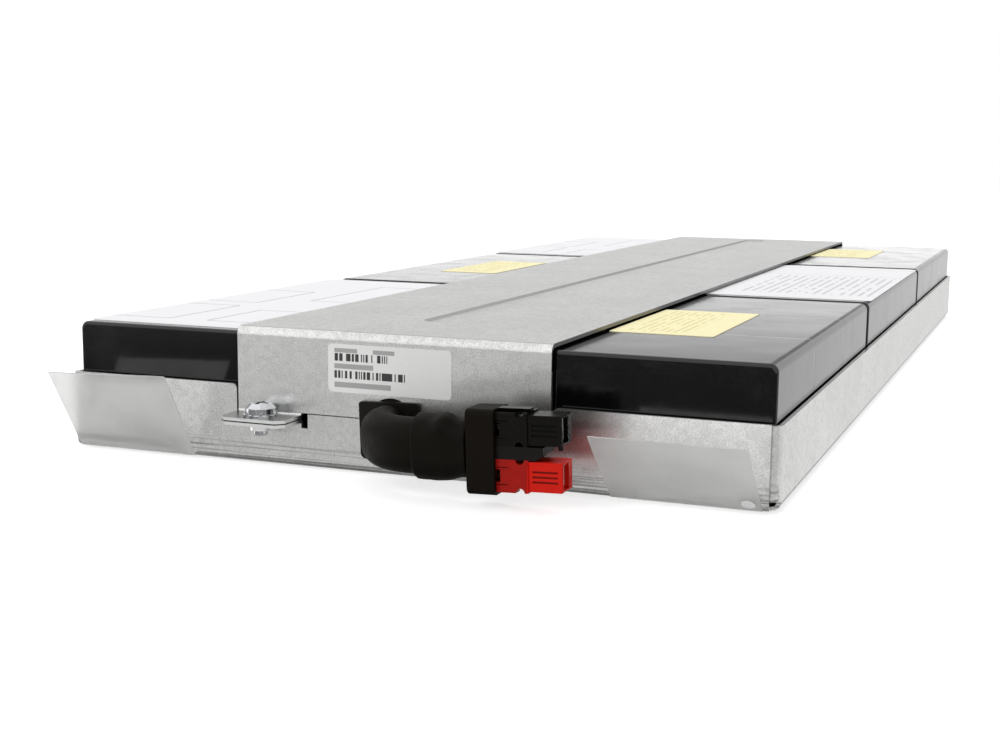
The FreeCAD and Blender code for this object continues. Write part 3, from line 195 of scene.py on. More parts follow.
bm = bmesh.new()
bmesh.ops.create_grid(bm, x_segments=1, y_segments=1, size=studio["floorSize"])
bmesh.ops.translate(bm, verts=bm.verts, vec=(0, 0, cadLow.z - studio["floorGap"]))
floorMesh = bpy.data.meshes.new("floor")
bm.to_mesh(floorMesh)
bm.free()
floor = bpy.data.objects.new("floor", floorMesh)
bpy.context.scene.collection.objects.link(floor)
floor.visible_glossy = False

# the bench is white to the eye, takes the cartridge's shadow, and is clear from below
benchMaterial = bpy.data.materials.new("paleBench")
benchMaterial.use_nodes = True
tree = benchMaterial.node_tree
tree.nodes.clear()
matt = addNode(tree, "BsdfDiffuse", {"Color": linear(studio["floorColour"])})
lift = addNode(tree, "Emission", {"Strength": studio["floorLift"]})
lifted = addNode(tree, "AddShader", {0: matt, 1: lift})
ray = addNode(tree, "LightPath").outputs
seen = together(tree, "MAXIMUM", [ray["Is Camera Ray"], ray["Is Transmission Ray"]])
face = addNode(tree, "MixShader", {0: seen, 1: matt, 2: lifted})
under = addNode(tree, "NewGeometry").outputs["Backfacing"]
clear = addNode(tree, "BsdfTransparent")
oneSided = addNode(tree, "MixShader", {0: under, 1: face, 2: clear})
addNode(tree, "OutputMaterial", {"Surface": oneSided})
floor.data.materials.append(benchMaterial)

lamps = {
    "overheadLamp": {"place": (0.1, 0.6, 1.5), "target": (0, 0, 0), "size": (1.0, 1.0), "power": 11},
    "frontLamp": {"place": (-0.5, -1.6, 0.9), "target": (0, -0.2, 0), "size": (1.0, 0.8), "power": 12},
}
for name, lampIs in lamps.items():
    lamp = bpy.data.objects.new(name, bpy.data.lights.new(name, "AREA"))
    lamp.data.shape = "RECTANGLE"
    lamp.data.size, lamp.data.size_y = lampIs["size"]
    lamp.data.energy = lampIs["power"]
    lamp.location = lampIs["place"]
    aim = Vector(lampIs["target"]) - Vector(lampIs["place"])
    lamp.rotation_euler = aim.to_track_quat("-Z", "Y").to_euler()
    bpy.context.scene.collection.objects.link(lamp)
    lamp.visible_glossy = False
print("studio lit")


# galvanised sheet steel, cold rolled and hot-dip coated: a satin grey with a faint spangle and a fine
# speckle, dark where the cover was sheared, with painted shade on sloping and down-turned faces, in streaks
# low on the front wall and in the tab's seam, a painted dark reflection on the tab's top and a painted
# highlight on its rim

tabReach = 10.5  # how far the tray's fixing tab stands in front of its wall
tabFold = 1.1  # how much of that the tab's fold takes
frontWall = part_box("tray")[0].y / mm + tabReach

steel = {
    "colour": "#eeeeed", "dark": "#c3c3c1", "roughness": 0.32, "roughnessPlay": 0.04, "bump": 0.035,
    "spangle": 1.5, "spangleShare": 0.14, "speckle": 0.45, "cloud": 28.0, "cloudShare": 0.20,
    "streakLength": 60.0, "streakWidth": 0.7, "streakFoot": 3.5, "streakTop": 7.5, "streakShare": 0.75,
    "masks": {  # what is measured, how, against what value, and within how much of it
        "onCover": ("height", "GREATER_THAN", 30.0, 0.0),
        "betweenLayers": ("height", "COMPARE", 12.9, 0.16),
        "onTab": ("depth", "LESS_THAN", frontWall - tabFold, 0.0),
        "sloping": ("upward", "COMPARE", 0.955, 0.03),
        "facingUp": ("upward", "GREATER_THAN", 0.9, 0.0),
        "upright": ("upward", "COMPARE", 0.0, 0.5),
        "turningUnder": ("upward", "COMPARE", -0.5, 0.42),
        "onSide": ("sideways", "GREATER_THAN", 0.9, 0.0),
        "outward": ("sideways", "GREATER_THAN", 0.25, 0.0),
        "facingFront": ("backward", "LESS_THAN", -0.5, 0.0)},
    "tones": {  # the darker sheared edge, then painted shade, reflection and highlight, laid on in this order where all its masks are
        "slopeShade": ("#a8a8a6", ["sloping", "onCover"]),  # painted shade on the channel's walls and the cover's folds
        "sheared": ("#585856", ["onSide", "onCover"]),
        "tab": ("#858583", ["onTab", "facingUp"]),  # painted dark reflection on the tab's top
        "rimHighlight": ("#f4f4f3", ["onTab", "upright"]),  # painted highlight on the tab's upright cut edges
        # painted shade in the gap between the tab's two layers
        "seamShade": ("#2c2c2a", ["onTab", "upright", "betweenLayers"]),
        "streakShade": ("#6e6e6a", ["streaky", "nearFold", "facingFront"]),  # painted shade, darker in streaks towards the foot of the front wall
        "bend": ("#8e8e8b", ["turningUnder", "outward"])},  # painted shade on the down-turned faces of the side folds
}


def shadeAndShearTones(tree, place, colour):
    normal = addNode(tree, "NewGeometry").outputs["Normal"]
    normalX, normalY, normalZ = addNode(tree, "SeparateXYZ", {0: normal}).outputs
    _, depth, height = addNode(tree, "SeparateXYZ", {0: place}).outputs
    sideways = addNode(tree, "Math", {"operation": "ABSOLUTE", 0: normalX})
    measures = {"depth": depth, "height": height, "sideways": sideways, "backward": normalY,
                "upward": normalZ}
    masks = {}
    for name, (measure, operation, value, within) in steel["masks"].items():
        masks[name] = addNode(tree, "Math", {"operation": operation, 0: measures[measure], 1: value,
                                             2: within})
    streakSpace = addNode(tree, "Mapping", {
        "Vector": place, "Scale": (1 / steel["streakLength"], 1.0, 1 / steel["streakWidth"])})
    streaks = addNode(tree, "TexNoise", {"Scale": 1.0, "Detail": 2.0, "Vector": streakSpace})
    masks["streaky"] = addNode(tree, "MapRange", {
        "interpolation_type": "SMOOTHSTEP", 0: streaks, 1: 0.46, 2: 0.66, 3: 0.0, 4: steel["streakShare"]})
    masks["nearFold"] = addNode(tree, "MapRange", {
        "interpolation_type": "SMOOTHSTEP", 0: height, 1: steel["streakFoot"], 2: steel["streakTop"],
        3: 1.0, 4: 0.0})
    for tone, where in steel["tones"].values():
        mask = together(tree, "MULTIPLY", [masks[name] for name in where])
        colour = addNode(tree, "Mix", {"data_type": "RGBA", 0: mask, 6: colour, 7: linear(tone)})
    return colour


def steelLook(tree):
    place = placeOn(tree)
    cells = addNode(tree, "TexVoronoi", {"Scale": 1 / steel["spangle"], "Vector": place})
    spangle = addNode(tree, "SeparateColor", {0: cells.outputs["Color"]})
    speckle = addNode(tree, "TexNoise", {"Scale": 1 / steel["speckle"], "Detail": 3.0, "Roughness": 0.6,
                                         "Vector": place})
    cloud = addNode(tree, "TexNoise", {"Scale": 1 / steel["cloud"], "Detail": 2.0, "Vector": place})
    tone = addNode(tree, "Math", {"operation": "MULTIPLY_ADD", 0: spangle, 1: steel["spangleShare"],
                                  2: speckle})
    tone = addNode(tree, "Math", {"operation": "MULTIPLY_ADD", 0: cloud, 1: steel["cloudShare"], 2: tone})
    share = addNode(tree, "MapRange", {0: tone, 1: 0.45, 2: 0.90})
    rolled = addNode(tree, "Mix", {"data_type": "RGBA", 0: share, 6: linear(steel["dark"]),
                                   7: linear(steel["colour"])})
    rough = addNode(tree, "MapRange", {0: tone, 1: 0.4, 2: 0.9,
                                       3: steel["roughness"] + steel["roughnessPlay"],
                                       4: steel["roughness"] - steel["roughnessPlay"]})
    bump = addNode(tree, "Bump", {"Strength": 0.8, "Distance": steel["bump"] * mm, "Height": tone})
    return {"Metallic": 1.0, "Base Color": shadeAndShearTones(tree, place, rolled), "Roughness": rough,
            "Normal": bump}


paint(newMaterial("galvanisedSteel", steelLook), "tray", "cover")
print("steel painted")


# block cases and lids: black ABS from a polished mould, so a deep gloss with a slight wave, faint
# lines where the inner cell walls pull the skin in, smears from handling, and a little dust

blocks = {
    "colour": "#070707", "dust": "#3a3936", "dustShare": 0.25, "speck": 1.4, "wave": 30.0, "bump": 0.35,
    "roughness": 0.09, "roughnessPlay": 0.05, "grain": 0.9, "smear": 16.0, "smearRoughness": 0.035,
    "cells": 3, "line": 0.7, "sink": 0.25,
}

firstLow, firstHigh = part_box("case_right_front")
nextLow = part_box("case_right_middle")[0]
blockPitch = (nextLow.y - firstLow.y) / mm
blockLength = (firstHigh.y - firstLow.y) / mm


def blockLook(tree):
    place = placeOn(tree, (0, firstLow.y, 0))
    along = addNode(tree, "SeparateXYZ", {0: place}).outputs[1]
    inBlock = addNode(tree, "Math", {"operation": "FLOORED_MODULO", 0: along, 1: blockPitch})
    height = addNode(tree, "TexNoise", {"Scale": 1 / blocks["wave"], "Detail": 1.0, "Vector": place})
    for cell in range(1, blocks["cells"]):
        wall = blockLength * cell / blocks["cells"]
        offset = addNode(tree, "Math", {"operation": "SUBTRACT", 0: inBlock, 1: wall})
        away = addNode(tree, "Math", {"operation": "ABSOLUTE", 0: offset})
        sink = addNode(tree, "MapRange", {"interpolation_type": "SMOOTHSTEP", 0: away, 1: 0.0,
                                          2: blocks["line"], 3: blocks["sink"], 4: 0.0})
        height = addNode(tree, "Math", {"operation": "SUBTRACT", 0: height, 1: sink})
    specks = addNode(tree, "TexNoise", {"Scale": 1 / blocks["speck"], "Detail": 4.0, "Roughness": 0.7,
                                        "Vector": place})
    dusty = addNode(tree, "MapRange", {0: specks, 1: 0.66, 2: 0.78, 3: 0.0, 4: blocks["dustShare"]})
    colour = addNode(tree, "Mix", {"data_type": "RGBA", 0: dusty, 6: linear(blocks["colour"]),
                                   7: linear(blocks["dust"])})
    smear = addNode(tree, "TexNoise", {"Scale": 1 / blocks["smear"], "Detail": 3.0, "Roughness": 0.6,
                                       "Vector": place})
    handled = addNode(tree, "MapRange", {"interpolation_type": "SMOOTHSTEP", 0: smear, 1: 0.48, 2: 0.66,
                                         3: 0.0, 4: blocks["smearRoughness"]})
    fine = addNode(tree, "TexNoise", {"Scale": 1 / blocks["grain"], "Detail": 3.0, "Vector": place})
    rough = addNode(tree, "MapRange", {0: fine, 1: 0.3, 2: 0.7, 3: blocks["roughness"],
                                       4: blocks["roughness"] + blocks["roughnessPlay"]})
    rough = addNode(tree, "Math", {"operation": "ADD", 0: rough, 1: handled})
    bump = addNode(tree, "Bump", {"Strength": 0.3, "Distance": blocks["bump"] * mm, "Height": height})
    return {"IOR": 1.53, "Base Color": colour, "Roughness": rough, "Normal": bump}


paint(newMaterial("polishedAbs", blockLook), *named("case_"), *named("lid_"))
print("blocks painted")


# small mouldings, rubber, foam and wire skins: each a plain solid colour with the fine grain that
# its mould or its drawing left, so gloss and tone change a little from grain to grain

mouldings = {
    "mouldedNylon": {"colour": "#110f0d", "roughness": 0.40, "ior": 1.53, "level": 0.14, "grain": 0.5,
                     "depth": 0.015},
    "closedCellFoam": {"colour": "#121212", "roughness": 0.92, "ior": 1.45, "level": 0.3, "grain": 0.6,
                       "depth": 0.15},
    "shrinkTube": {"colour": "#0f0c07", "roughness": 0.55, "ior": 1.46, "level": 0.10, "grain": 0.8,
                   "depth": 0.02},
    "bootRubber": {"colour": "#130f0a", "roughness": 0.60, "ior": 1.46, "level": 0.08, "grain": 0.7,
                   "depth": 0.02},
    "blackPvc": {"colour": "#141414", "roughness": 0.45, "ior": 1.52, "level": 0.4, "grain": 0.5,
                 "depth": 0.01},
    "redPvc": {"colour": "#8c1710", "roughness": 0.45, "ior": 1.52, "level": 0.4, "grain": 0.5,
               "depth": 0.01},
    "blackPolycarbonate": {"colour": "#0c0a07", "roughness": 0.30, "ior": 1.52, "level": 0.12, "grain": 0.6,
                           "depth": 0.008, "nose": "#0a0806", "groove": "#020202"},
    "redPolycarbonate": {"colour": "#a5160d", "roughness": 0.36, "ior": 1.52, "level": 0.14, "grain": 0.6,
                         "depth": 0.008, "nose": "#cc1a0c", "groove": "#7c0f08"},
}

# where the connectors' noses start, and how far the floors of their grooves lie behind their fronts
connectors = {"noseStart": 45.5, "gripFloor": 0.75, "tongueFloor": 0.3}
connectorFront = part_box("connector_housing_red")[0].y / mm


def noseToneAndGrooveShade(tree, place, colour, kind):
    # the nose has a tone of its own, and the floors of the grooves are painted darker as shade
    across, depth, _ = addNode(tree, "SeparateXYZ", {0: place}).outputs
    onNose = addNode(tree, "Math", {"operation": "GREATER_THAN", 0: across, 1: connectors["noseStart"]})
    colour = addNode(tree, "Mix", {"data_type": "RGBA", 0: onNose, 6: colour, 7: linear(kind["nose"])})
    behind = addNode(tree, "Math", {"operation": "SUBTRACT", 0: depth, 1: connectorFront})
    inGrip = addNode(tree, "Math", {"operation": "COMPARE", 0: behind, 1: connectors["gripFloor"], 2: 0.15})
    inTongue = addNode(tree, "Math", {"operation": "COMPARE", 0: behind, 1: connectors["tongueFloor"],
                                      2: 0.06})
    normal = addNode(tree, "NewGeometry").outputs["Normal"]
    normalY = addNode(tree, "SeparateXYZ", {0: normal}).outputs[1]
    facingFront = addNode(tree, "Math", {"operation": "LESS_THAN", 0: normalY, 1: -0.9})
    onFloor = together(tree, "MAXIMUM", [inGrip, inTongue])
    inShadedGroove = together(tree, "MULTIPLY", [onFloor, facingFront])
    return addNode(tree, "Mix", {"data_type": "RGBA", 0: inShadedGroove, 6: colour, 7: linear(kind["groove"])})


def mouldedLook(tree, kind):
    place = placeOn(tree)
    fine = addNode(tree, "TexNoise", {"Scale": 1 / kind["grain"], "Detail": 3.0, "Roughness": 0.6,
                                      "Vector": place})
    cloud = addNode(tree, "TexNoise", {"Scale": 1 / (kind["grain"] * 12), "Detail": 2.0, "Vector": place})
    tone = addNode(tree, "Math", {"operation": "ADD", 0: fine, 1: cloud})
    share = addNode(tree, "MapRange", {0: tone, 1: 0.7, 2: 1.3})
    colour = addNode(tree, "Mix", {"data_type": "RGBA", 0: share, 6: linear(kind["colour"], 0.72),
                                   7: linear(kind["colour"])})
    if "nose" in kind:
        colour = noseToneAndGrooveShade(tree, place, colour, kind)
    rough = addNode(tree, "MapRange", {0: fine, 1: 0.3, 2: 0.7, 3: kind["roughness"] - 0.06,
                                       4: kind["roughness"] + 0.06})
    bump = addNode(tree, "Bump", {"Strength": 0.6, "Distance": kind["depth"] * mm, "Height": fine})
    return {"IOR": kind["ior"], "Specular IOR Level": kind["level"], "Base Color": colour,
            "Roughness": rough, "Normal": bump}


moulded = {name: newMaterial(name, lambda tree, kind=kind: mouldedLook(tree, kind))
           for name, kind in mouldings.items()}
paint(moulded["mouldedNylon"], "exit_grommet", "connector_key", "stop_post")
paint(moulded["closedCellFoam"], *named("joint_pad"), *named("rear_pad"), *named("cover_strip"))
paint(moulded["shrinkTube"], "lead_elbow", "lead_sleeve")
paint(moulded["bootRubber"], "connector_boot")
paint(moulded["blackPolycarbonate"], "connector_housing_black")
paint(moulded["redPolycarbonate"], "connector_housing_red")
paint(moulded["blackPvc"], *named("jumper"), "main_lead_negative")
paint(moulded["redPvc"], "main_lead_positive")


# the shrunk sleeve over the lead: a tube drawn in toward the boot, with a lump where the wires part
sleeve = {
    "width": 11.6, "height": 16.2, "middle": 7.05, "tilt": 2.2, "segments": 56, "core": 5.0, "skin": 0.6,
    "lump": (8.0, 6.2), "lumpHeight": 1.7, "lumpReach": 2.0,
    "wrinkle": 0.26, "wrinkleSize": 2.6, "crease": 0.091, "creaseSize": 1.1,
    "rings": [  # along, width share, height share: out to the boot and back inside
        (0.0, 0.88, 0.90), (0.0, 0.98, 0.985), (0.5, 1.01, 1.00), (1.6, 1.01, 1.01), (3.2, 1.02, 1.02),
        (4.8, 1.02, 1.03), (6.2, 1.01, 1.02), (7.4, 1.01, 1.01), (8.4, 1.01, 1.00), (9.4, 1.00, 0.96),
        (10.6, 0.97, 0.91), (11.8, 0.94, 0.89), (13.0, 0.93, 0.89), (14.0, 0.94, 0.91),
        (14.0, 0.84, 0.84), (10.0, 0.84, 0.84), (4.0, 0.86, 0.88), (0.0, 0.88, 0.90)],
}
sleeveLow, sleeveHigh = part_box("lead_sleeve")
bm = bmesh.new()
bmesh.ops.create_circle(bm, segments=sleeve["segments"], radius=sleeve["width"] / 2)
bmesh.ops.rotate(bm, verts=bm.verts, matrix=Matrix.Rotation(math.pi / 2, 3, "Y"))
rise = (sleeve["height"] - sleeve["width"]) / 2
for vert in bm.verts:
    vert.co.z += rise if vert.co.z > 0 else -rise
ring, edges = bm.verts[:], bm.edges[:]
lastAlong, lastWide, lastTall = 0.0, 1.0, 1.0
for count, (along, wide, tall) in enumerate(sleeve["rings"]):
    if count > 0:
        grown = bmesh.ops.extrude_edge_only(bm, edges=edges)["geom"]
        edges = [item for item in grown if isinstance(item, bmesh.types.BMEdge)]
        ring = [item for item in grown if isinstance(item, bmesh.types.BMVert)]
    bmesh.ops.scale(bm, verts=ring, vec=(1, wide / lastWide, tall / lastTall))
    bmesh.ops.translate(bm, verts=ring, vec=(along - lastAlong, 0, 0))
    lastAlong, lastWide, lastTall = along, wide, tall
bmesh.ops.remove_doubles(bm, verts=bm.verts, dist=0.001)
bmesh.ops.recalc_face_normals(bm, faces=bm.faces)
bm.normal_update()
for vert in bm.verts:
    fromAxis = Vector((0, vert.co.y, vert.co.z)).length
    outer = min(max((fromAxis - sleeve["core"]) / sleeve["skin"], 0.0), 1.0)
    fromLump = math.hypot(vert.co.x - sleeve["lump"][0], vert.co.z - sleeve["lump"][1])
    lump = sleeve["lumpHeight"] * math.exp(-(fromLump / sleeve["lumpReach"]) ** 2) if vert.co.y < 0 else 0.0
    wrinkle = noise.noise(vert.co / sleeve["wrinkleSize"]) * sleeve["wrinkle"]
    crease = noise.noise(vert.co / sleeve["creaseSize"]) * sleeve["crease"]
    vert.co += vert.normal * outer * (lump + wrinkle + crease)
bmesh.ops.translate(bm, verts=bm.verts, vec=(-sleeve["middle"], 0, 0))
bmesh.ops.scale(bm, verts=bm.verts, vec=(mm, mm, mm))
bmesh.ops.rotate(bm, verts=bm.verts, matrix=Matrix.Rotation(-math.radians(sleeve["tilt"]), 3, "Y"))
bmesh.ops.translate(bm, verts=bm.verts, vec=(sleeveLow + sleeveHigh) / 2)
shrunk = finishPiece("shrunk_sleeve", bm, moulded["shrinkTube"], ["lead_sleeve"])
smoother = shrunk.modifiers.new("smoother", "SUBSURF")
smoother.levels = smoother.render_levels = 1
print("sleeve made")


# bright plating over turned, stamped or drawn metal: near-mirror, with fine drawing marks in tone
# and gloss, a little coarser than the real ones so that they show

platings = {
    "brightZinc": {"colour": "#dfe1e4", "roughness": 0.18, "grain": 0.25},
    "tinnedBrass": {"colour": "#cfcbbd", "roughness": 0.25, "grain": 0.25},
    "silverPlate": {"colour": "#d8d8d4", "roughness": 0.22, "grain": 0.25},
}


def platedLook(tree, kind):
    place = placeOn(tree)
    fine = addNode(tree, "TexNoise", {"Scale": 1 / kind["grain"], "Detail": 3.0, "Roughness": 0.6,
                                      "Vector": place})
    share = addNode(tree, "MapRange", {0: fine, 1: 0.35, 2: 0.65})
    colour = addNode(tree, "Mix", {"data_type": "RGBA", 0: share, 6: linear(kind["colour"], 0.8),
                                   7: linear(kind["colour"])})
    rough = addNode(tree, "MapRange", {0: fine, 1: 0.3, 2: 0.7, 3: kind["roughness"] - 0.05,
                                       4: kind["roughness"] + 0.05})
    bump = addNode(tree, "Bump", {"Strength": 0.4, "Distance": 0.01 * mm, "Height": fine})
    return {"Metallic": 1.0, "Base Color": colour, "Roughness": rough, "Normal": bump}


plated = {name: newMaterial(name, lambda tree, kind=kind: platedLook(tree, kind))
          for name, kind in platings.items()}
paint(plated["brightZinc"], "fixing_screw", "toothed_washer")
paint(plated["tinnedBrass"], *named("terminal_"))
paint(plated["silverPlate"], *named("contact_"))
print("small parts painted")


# pull tabs: matt polyester film, drawn and frosted, so milky with soft light coming through

film = {
    "colour": "#f5f5f4", "dull": "#ececeb", "roughness": 0.34, "through": 0.82, "cloud": 9.0, "frost": 0.5,
    "thickness": 0.3, "foldRadius": 2.05, "foldBehind": 1.0, "foldHeight": 2.0, "root": 32.0, "length": 25.9,
    "wave": 0.25, "waveSize": 14.0, "stepsAcross": 14, "stepsRound": 5, "stepsAlong": 10,
}


def filmLook(tree):
    place = placeOn(tree)
    cloud = addNode(tree, "TexNoise", {"Scale": 1 / film["cloud"], "Detail": 2.0, "Vector": place})
    frost = addNode(tree, "TexNoise", {"Scale": 1 / film["frost"], "Detail": 2.0, "Vector": place})
    share = addNode(tree, "MapRange", {0: cloud, 1: 0.35, 2: 0.65})
    colour = addNode(tree, "Mix", {"data_type": "RGBA", 0: share, 6: linear(film["dull"]),
                                   7: linear(film["colour"])})
    rough = addNode(tree, "MapRange", {0: frost, 1: 0.3, 2: 0.7, 3: film["roughness"] - 0.05,
                                       4: film["roughness"] + 0.05})
    bump = addNode(tree, "Bump", {"Strength": 0.1, "Distance": 0.1 * mm, "Height": cloud})
    return {"IOR": 1.5, "Transmission Weight": film["through"], "Base Color": colour, "Roughness": rough,
            "Normal": bump}


# each tab turns round a line just behind the front wall's foot and leaves it on a tangent, with a
# slight curl; root, lean and curl are in degrees, skew is in millimetres
pullTabs = {
    "film_tab_left": {"lean": 31.0, "curl": 2.0, "skew": 0.7},
    "film_tab_right": {"lean": 46.0, "curl": -2.0, "skew": -0.2},
}
foldPlace = Vector((0, frontWall + film["foldBehind"], film["foldHeight"])) * mm
rootAngle = math.radians(270 - film["root"])
rootPlace = foldPlace + Vector((0, math.cos(rootAngle), math.sin(rootAngle))) * film["foldRadius"] * mm
filmMaterial = newMaterial("frostedFilm", filmLook)
for name, tab in pullTabs.items():
    low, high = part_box(name)
    middle, half = (low.x + high.x) / 2, (high.x - low.x) / 2
    turn = math.radians(90 - film["root"] - tab["lean"])
    bm = bmesh.new()
    ends = [bm.verts.new((x, rootPlace.y, rootPlace.z)) for x in (low.x, high.x)]
    bm.edges.new(ends)
    bmesh.ops.subdivide_edges(bm, edges=bm.edges[:], cuts=film["stepsAcross"] - 1)
    turned = bmesh.ops.spin(bm, geom=bm.verts[:] + bm.edges[:], cent=foldPlace, axis=(1, 0, 0),
                            steps=film["stepsRound"], angle=-turn)["geom_last"]
    edges = [item for item in turned if isinstance(item, bmesh.types.BMEdge)]
    for step in range(film["stepsAlong"]):
        grown = bmesh.ops.extrude_edge_only(bm, edges=edges)["geom"]
        edges = [item for item in grown if isinstance(item, bmesh.types.BMEdge)]
        row = [item for item in grown if isinstance(item, bmesh.types.BMVert)]
        lean = math.radians(tab["lean"] + tab["curl"] * (2 * step / film["stepsAlong"] - 1))
        away = Vector((0, -math.sin(lean), math.cos(lean))) * mm / film["stepsAlong"]
        bmesh.ops.translate(bm, verts=row, vec=away * film["length"])
        for vert in row:
            across = (vert.co.x - middle) / half
            swell = noise.noise(vert.co / (film["waveSize"] * mm)) * film["wave"] * mm
            vert.co += away * across * tab["skew"]
            vert.co.y += swell * (step + 1) / film["stepsAlong"]
    bmesh.ops.recalc_face_normals(bm, faces=bm.faces)
    bmesh.ops.solidify(bm, geom=bm.faces[:], thickness=film["thickness"] * mm)
    bmesh.ops.recalc_face_normals(bm, faces=bm.faces)
    for edge in bm.edges:
        edge.smooth = edge.calc_face_angle(0.0) < 1.0
    finishPiece(name.replace("film_tab", "frosted_tab"), bm, filmMaterial, [name])
print("films made")


# labels: coated paper on glue, printed with generic bars, lines and boxes, no lettering; matt, with
# a faint fibre tone

labels = {
    "paper": "#e6e6e5", "yellow": "#faf2c4", "white": "#f0f0f2", "round": "#ffffff", "ink": "#1c1c1c",
    "paleInk": "#6a6a6a", "yellowInk": "#b9ae5a", "thickness": 0.12, "fibre": 0.6, "line": 0.5,
    "strength": {"front": 0.95, "frontPale": 0.55, "yellow": 0.4, "diagram": 0.8, "notice": 0.7,
                 "noticeLines": 0.5},
}


def rectangle(tree, u, v, low, high):
    # 1 inside a rectangle of millimetres, 0 outside
    across = addNode(tree, "Math", {"operation": "COMPARE", 0: u, 1: (low[0] + high[0]) / 2,
                                    2: (high[0] - low[0]) / 2})
    along = addNode(tree, "Math", {"operation": "COMPARE", 0: v, 1: (low[1] + high[1]) / 2,
                                   2: (high[1] - low[1]) / 2})
    return together(tree, "MULTIPLY", [across, along])


def outline(tree, u, v, low, high):
    line = labels["line"]
    outer = rectangle(tree, u, v, low, high)
    inner = rectangle(tree, u, v, (low[0] + line, low[1] + line), (high[0] - line, high[1] - line))
    return addNode(tree, "Math", {"operation": "SUBTRACT", 0: outer, 1: inner})


def dashes(tree, along, across, pitch, word, inked, seed):
    # rows of word-long dashes, standing for print too small to read
    rows = addNode(tree, "Math", {"operation": "DIVIDE", 0: across, 1: pitch})
    row = addNode(tree, "Math", {"operation": "FLOOR", 0: rows})
    words = addNode(tree, "Math", {"operation": "DIVIDE", 0: along, 1: word})
    step = addNode(tree, "Math", {"operation": "FLOOR", 0: words})
    cell = addNode(tree, "CombineXYZ", {0: step, 1: row, 2: seed})
    chance = addNode(tree, "TexWhiteNoise", {"Vector": cell})
    there = addNode(tree, "Math", {"operation": "GREATER_THAN", 0: chance, 1: 0.22})
    inRow = addNode(tree, "Math", {"operation": "FRACT", 0: rows})
    onRow = addNode(tree, "Math", {"operation": "LESS_THAN", 0: inRow, 1: inked})
    return together(tree, "MULTIPLY", [there, onRow])


def stripes(tree, along, width, seed):
    # upright stripes by chance, which encode nothing
    steps = addNode(tree, "Math", {"operation": "DIVIDE", 0: along, 1: width})
    step = addNode(tree, "Math", {"operation": "FLOOR", 0: steps})
    cell = addNode(tree, "CombineXYZ", {0: step, 1: seed})
    chance = addNode(tree, "TexWhiteNoise", {"Vector": cell})
    return addNode(tree, "Math", {"operation": "GREATER_THAN", 0: chance, 1: 0.45})


def paperLook(tree, centre, facing, paper, ink, printing):
    # printing takes the tree and two axes in millimetres from the centre, and gives a mask of ink
    place = placeOn(tree, centre, (math.pi / 2, 0, 0) if facing == "front" else (0, 0, 0))
    u, v, _ = addNode(tree, "SeparateXYZ", {0: place}).outputs
    fibre = addNode(tree, "TexNoise", {"Scale": 1 / labels["fibre"], "Detail": 2.0, "Vector": place})
    share = addNode(tree, "MapRange", {0: fibre, 1: 0.35, 2: 0.65})
    base = addNode(tree, "Mix", {"data_type": "RGBA", 0: share, 6: linear(paper, 0.97), 7: linear(paper)})
    colour = addNode(tree, "Mix", {"data_type": "RGBA", 0: printing(tree, u, v), 6: base, 7: linear(ink)})
    rough = addNode(tree, "MapRange", {0: fibre, 1: 0.3, 2: 0.7, 3: 0.62, 4: 0.72})
    bump = addNode(tree, "Bump", {"Strength": 0.4, "Distance": 0.01 * mm, "Height": fibre})
    return {"IOR": 1.48, "Specular IOR Level": 0.3, "Base Color": colour, "Roughness": rough,
            "Normal": bump}


def layLabel(name, centre, size, facing, corner, paper, ink, printing):
    # a rounded sheet lying on a top face ("up") or standing on a front face ("front")
    bm = bmesh.new()
    bmesh.ops.create_cube(bm, size=1.0)
    bmesh.ops.scale(bm, verts=bm.verts, vec=(size[0], size[1], labels["thickness"]))
    uprights = [e for e in bm.edges if abs(e.verts[0].co.z - e.verts[1].co.z) > labels["thickness"] / 2]
    bmesh.ops.bevel(bm, geom=uprights, offset=corner, offset_type="OFFSET", segments=5, profile=0.5,
                    affect="EDGES", material=-1)
    if facing == "front":
        bmesh.ops.rotate(bm, verts=bm.verts, matrix=Matrix.Rotation(math.pi / 2, 3, "X"))
        bmesh.ops.translate(bm, verts=bm.verts, vec=(0, -labels["thickness"] / 2, 0))
    else:
        bmesh.ops.translate(bm, verts=bm.verts, vec=(0, 0, labels["thickness"] / 2))
    bmesh.ops.scale(bm, verts=bm.verts, vec=(mm, mm, mm))
    bmesh.ops.translate(bm, verts=bm.verts, vec=centre)
    material = newMaterial(name + "Paper",
                           lambda tree: paperLook(tree, centre, facing, paper, ink, printing))
    finishPiece(name, bm, material, smooth=False)


# a round paper spot near the right tab's lower corner, placed from the fold that the tab turns round
spot = {"across": 93.6, "along": 3.1, "proud": 0.42, "radius": 1.7, "thickness": 0.08, "lean": 47.8}
spotLean = math.radians(spot["lean"])
spotOut = Vector((0, -math.cos(spotLean), -math.sin(spotLean))) * (film["foldRadius"] + spot["proud"])
spotUp = Vector((0, -math.sin(spotLean), math.cos(spotLean))) * spot["along"]
spotPlace = foldPlace + (Vector((spot["across"], 0, 0)) + spotOut + spotUp) * mm


def noPrint(tree, u, v):
    return 0.0


bm = bmesh.new()
bmesh.ops.create_circle(bm, cap_ends=True, segments=32, radius=spot["radius"] * mm)
bmesh.ops.rotate(bm, verts=bm.verts, matrix=Matrix.Rotation(math.pi / 2 + spotLean, 3, "X"))
bmesh.ops.translate(bm, verts=bm.verts, vec=spotPlace)
bmesh.ops.solidify(bm, geom=bm.faces[:], thickness=spot["thickness"] * mm)
bmesh.ops.recalc_face_normals(bm, faces=bm.faces)
spotPaper = newMaterial("spotPaper", lambda tree: paperLook(
    tree, spotPlace, "up", labels["round"], labels["paleInk"], noPrint))
finishPiece("paper_spot", bm, spotPaper, smooth=False)


# the label on the cover's front flap: bars and two rows of stripes at its left, bare at its right
frontLabel = {"across": -0.5, "height": 27.2, "size": (34.9, 12.6), "corner": 1.2, "left": -15.6,
              "stripe": 0.33}


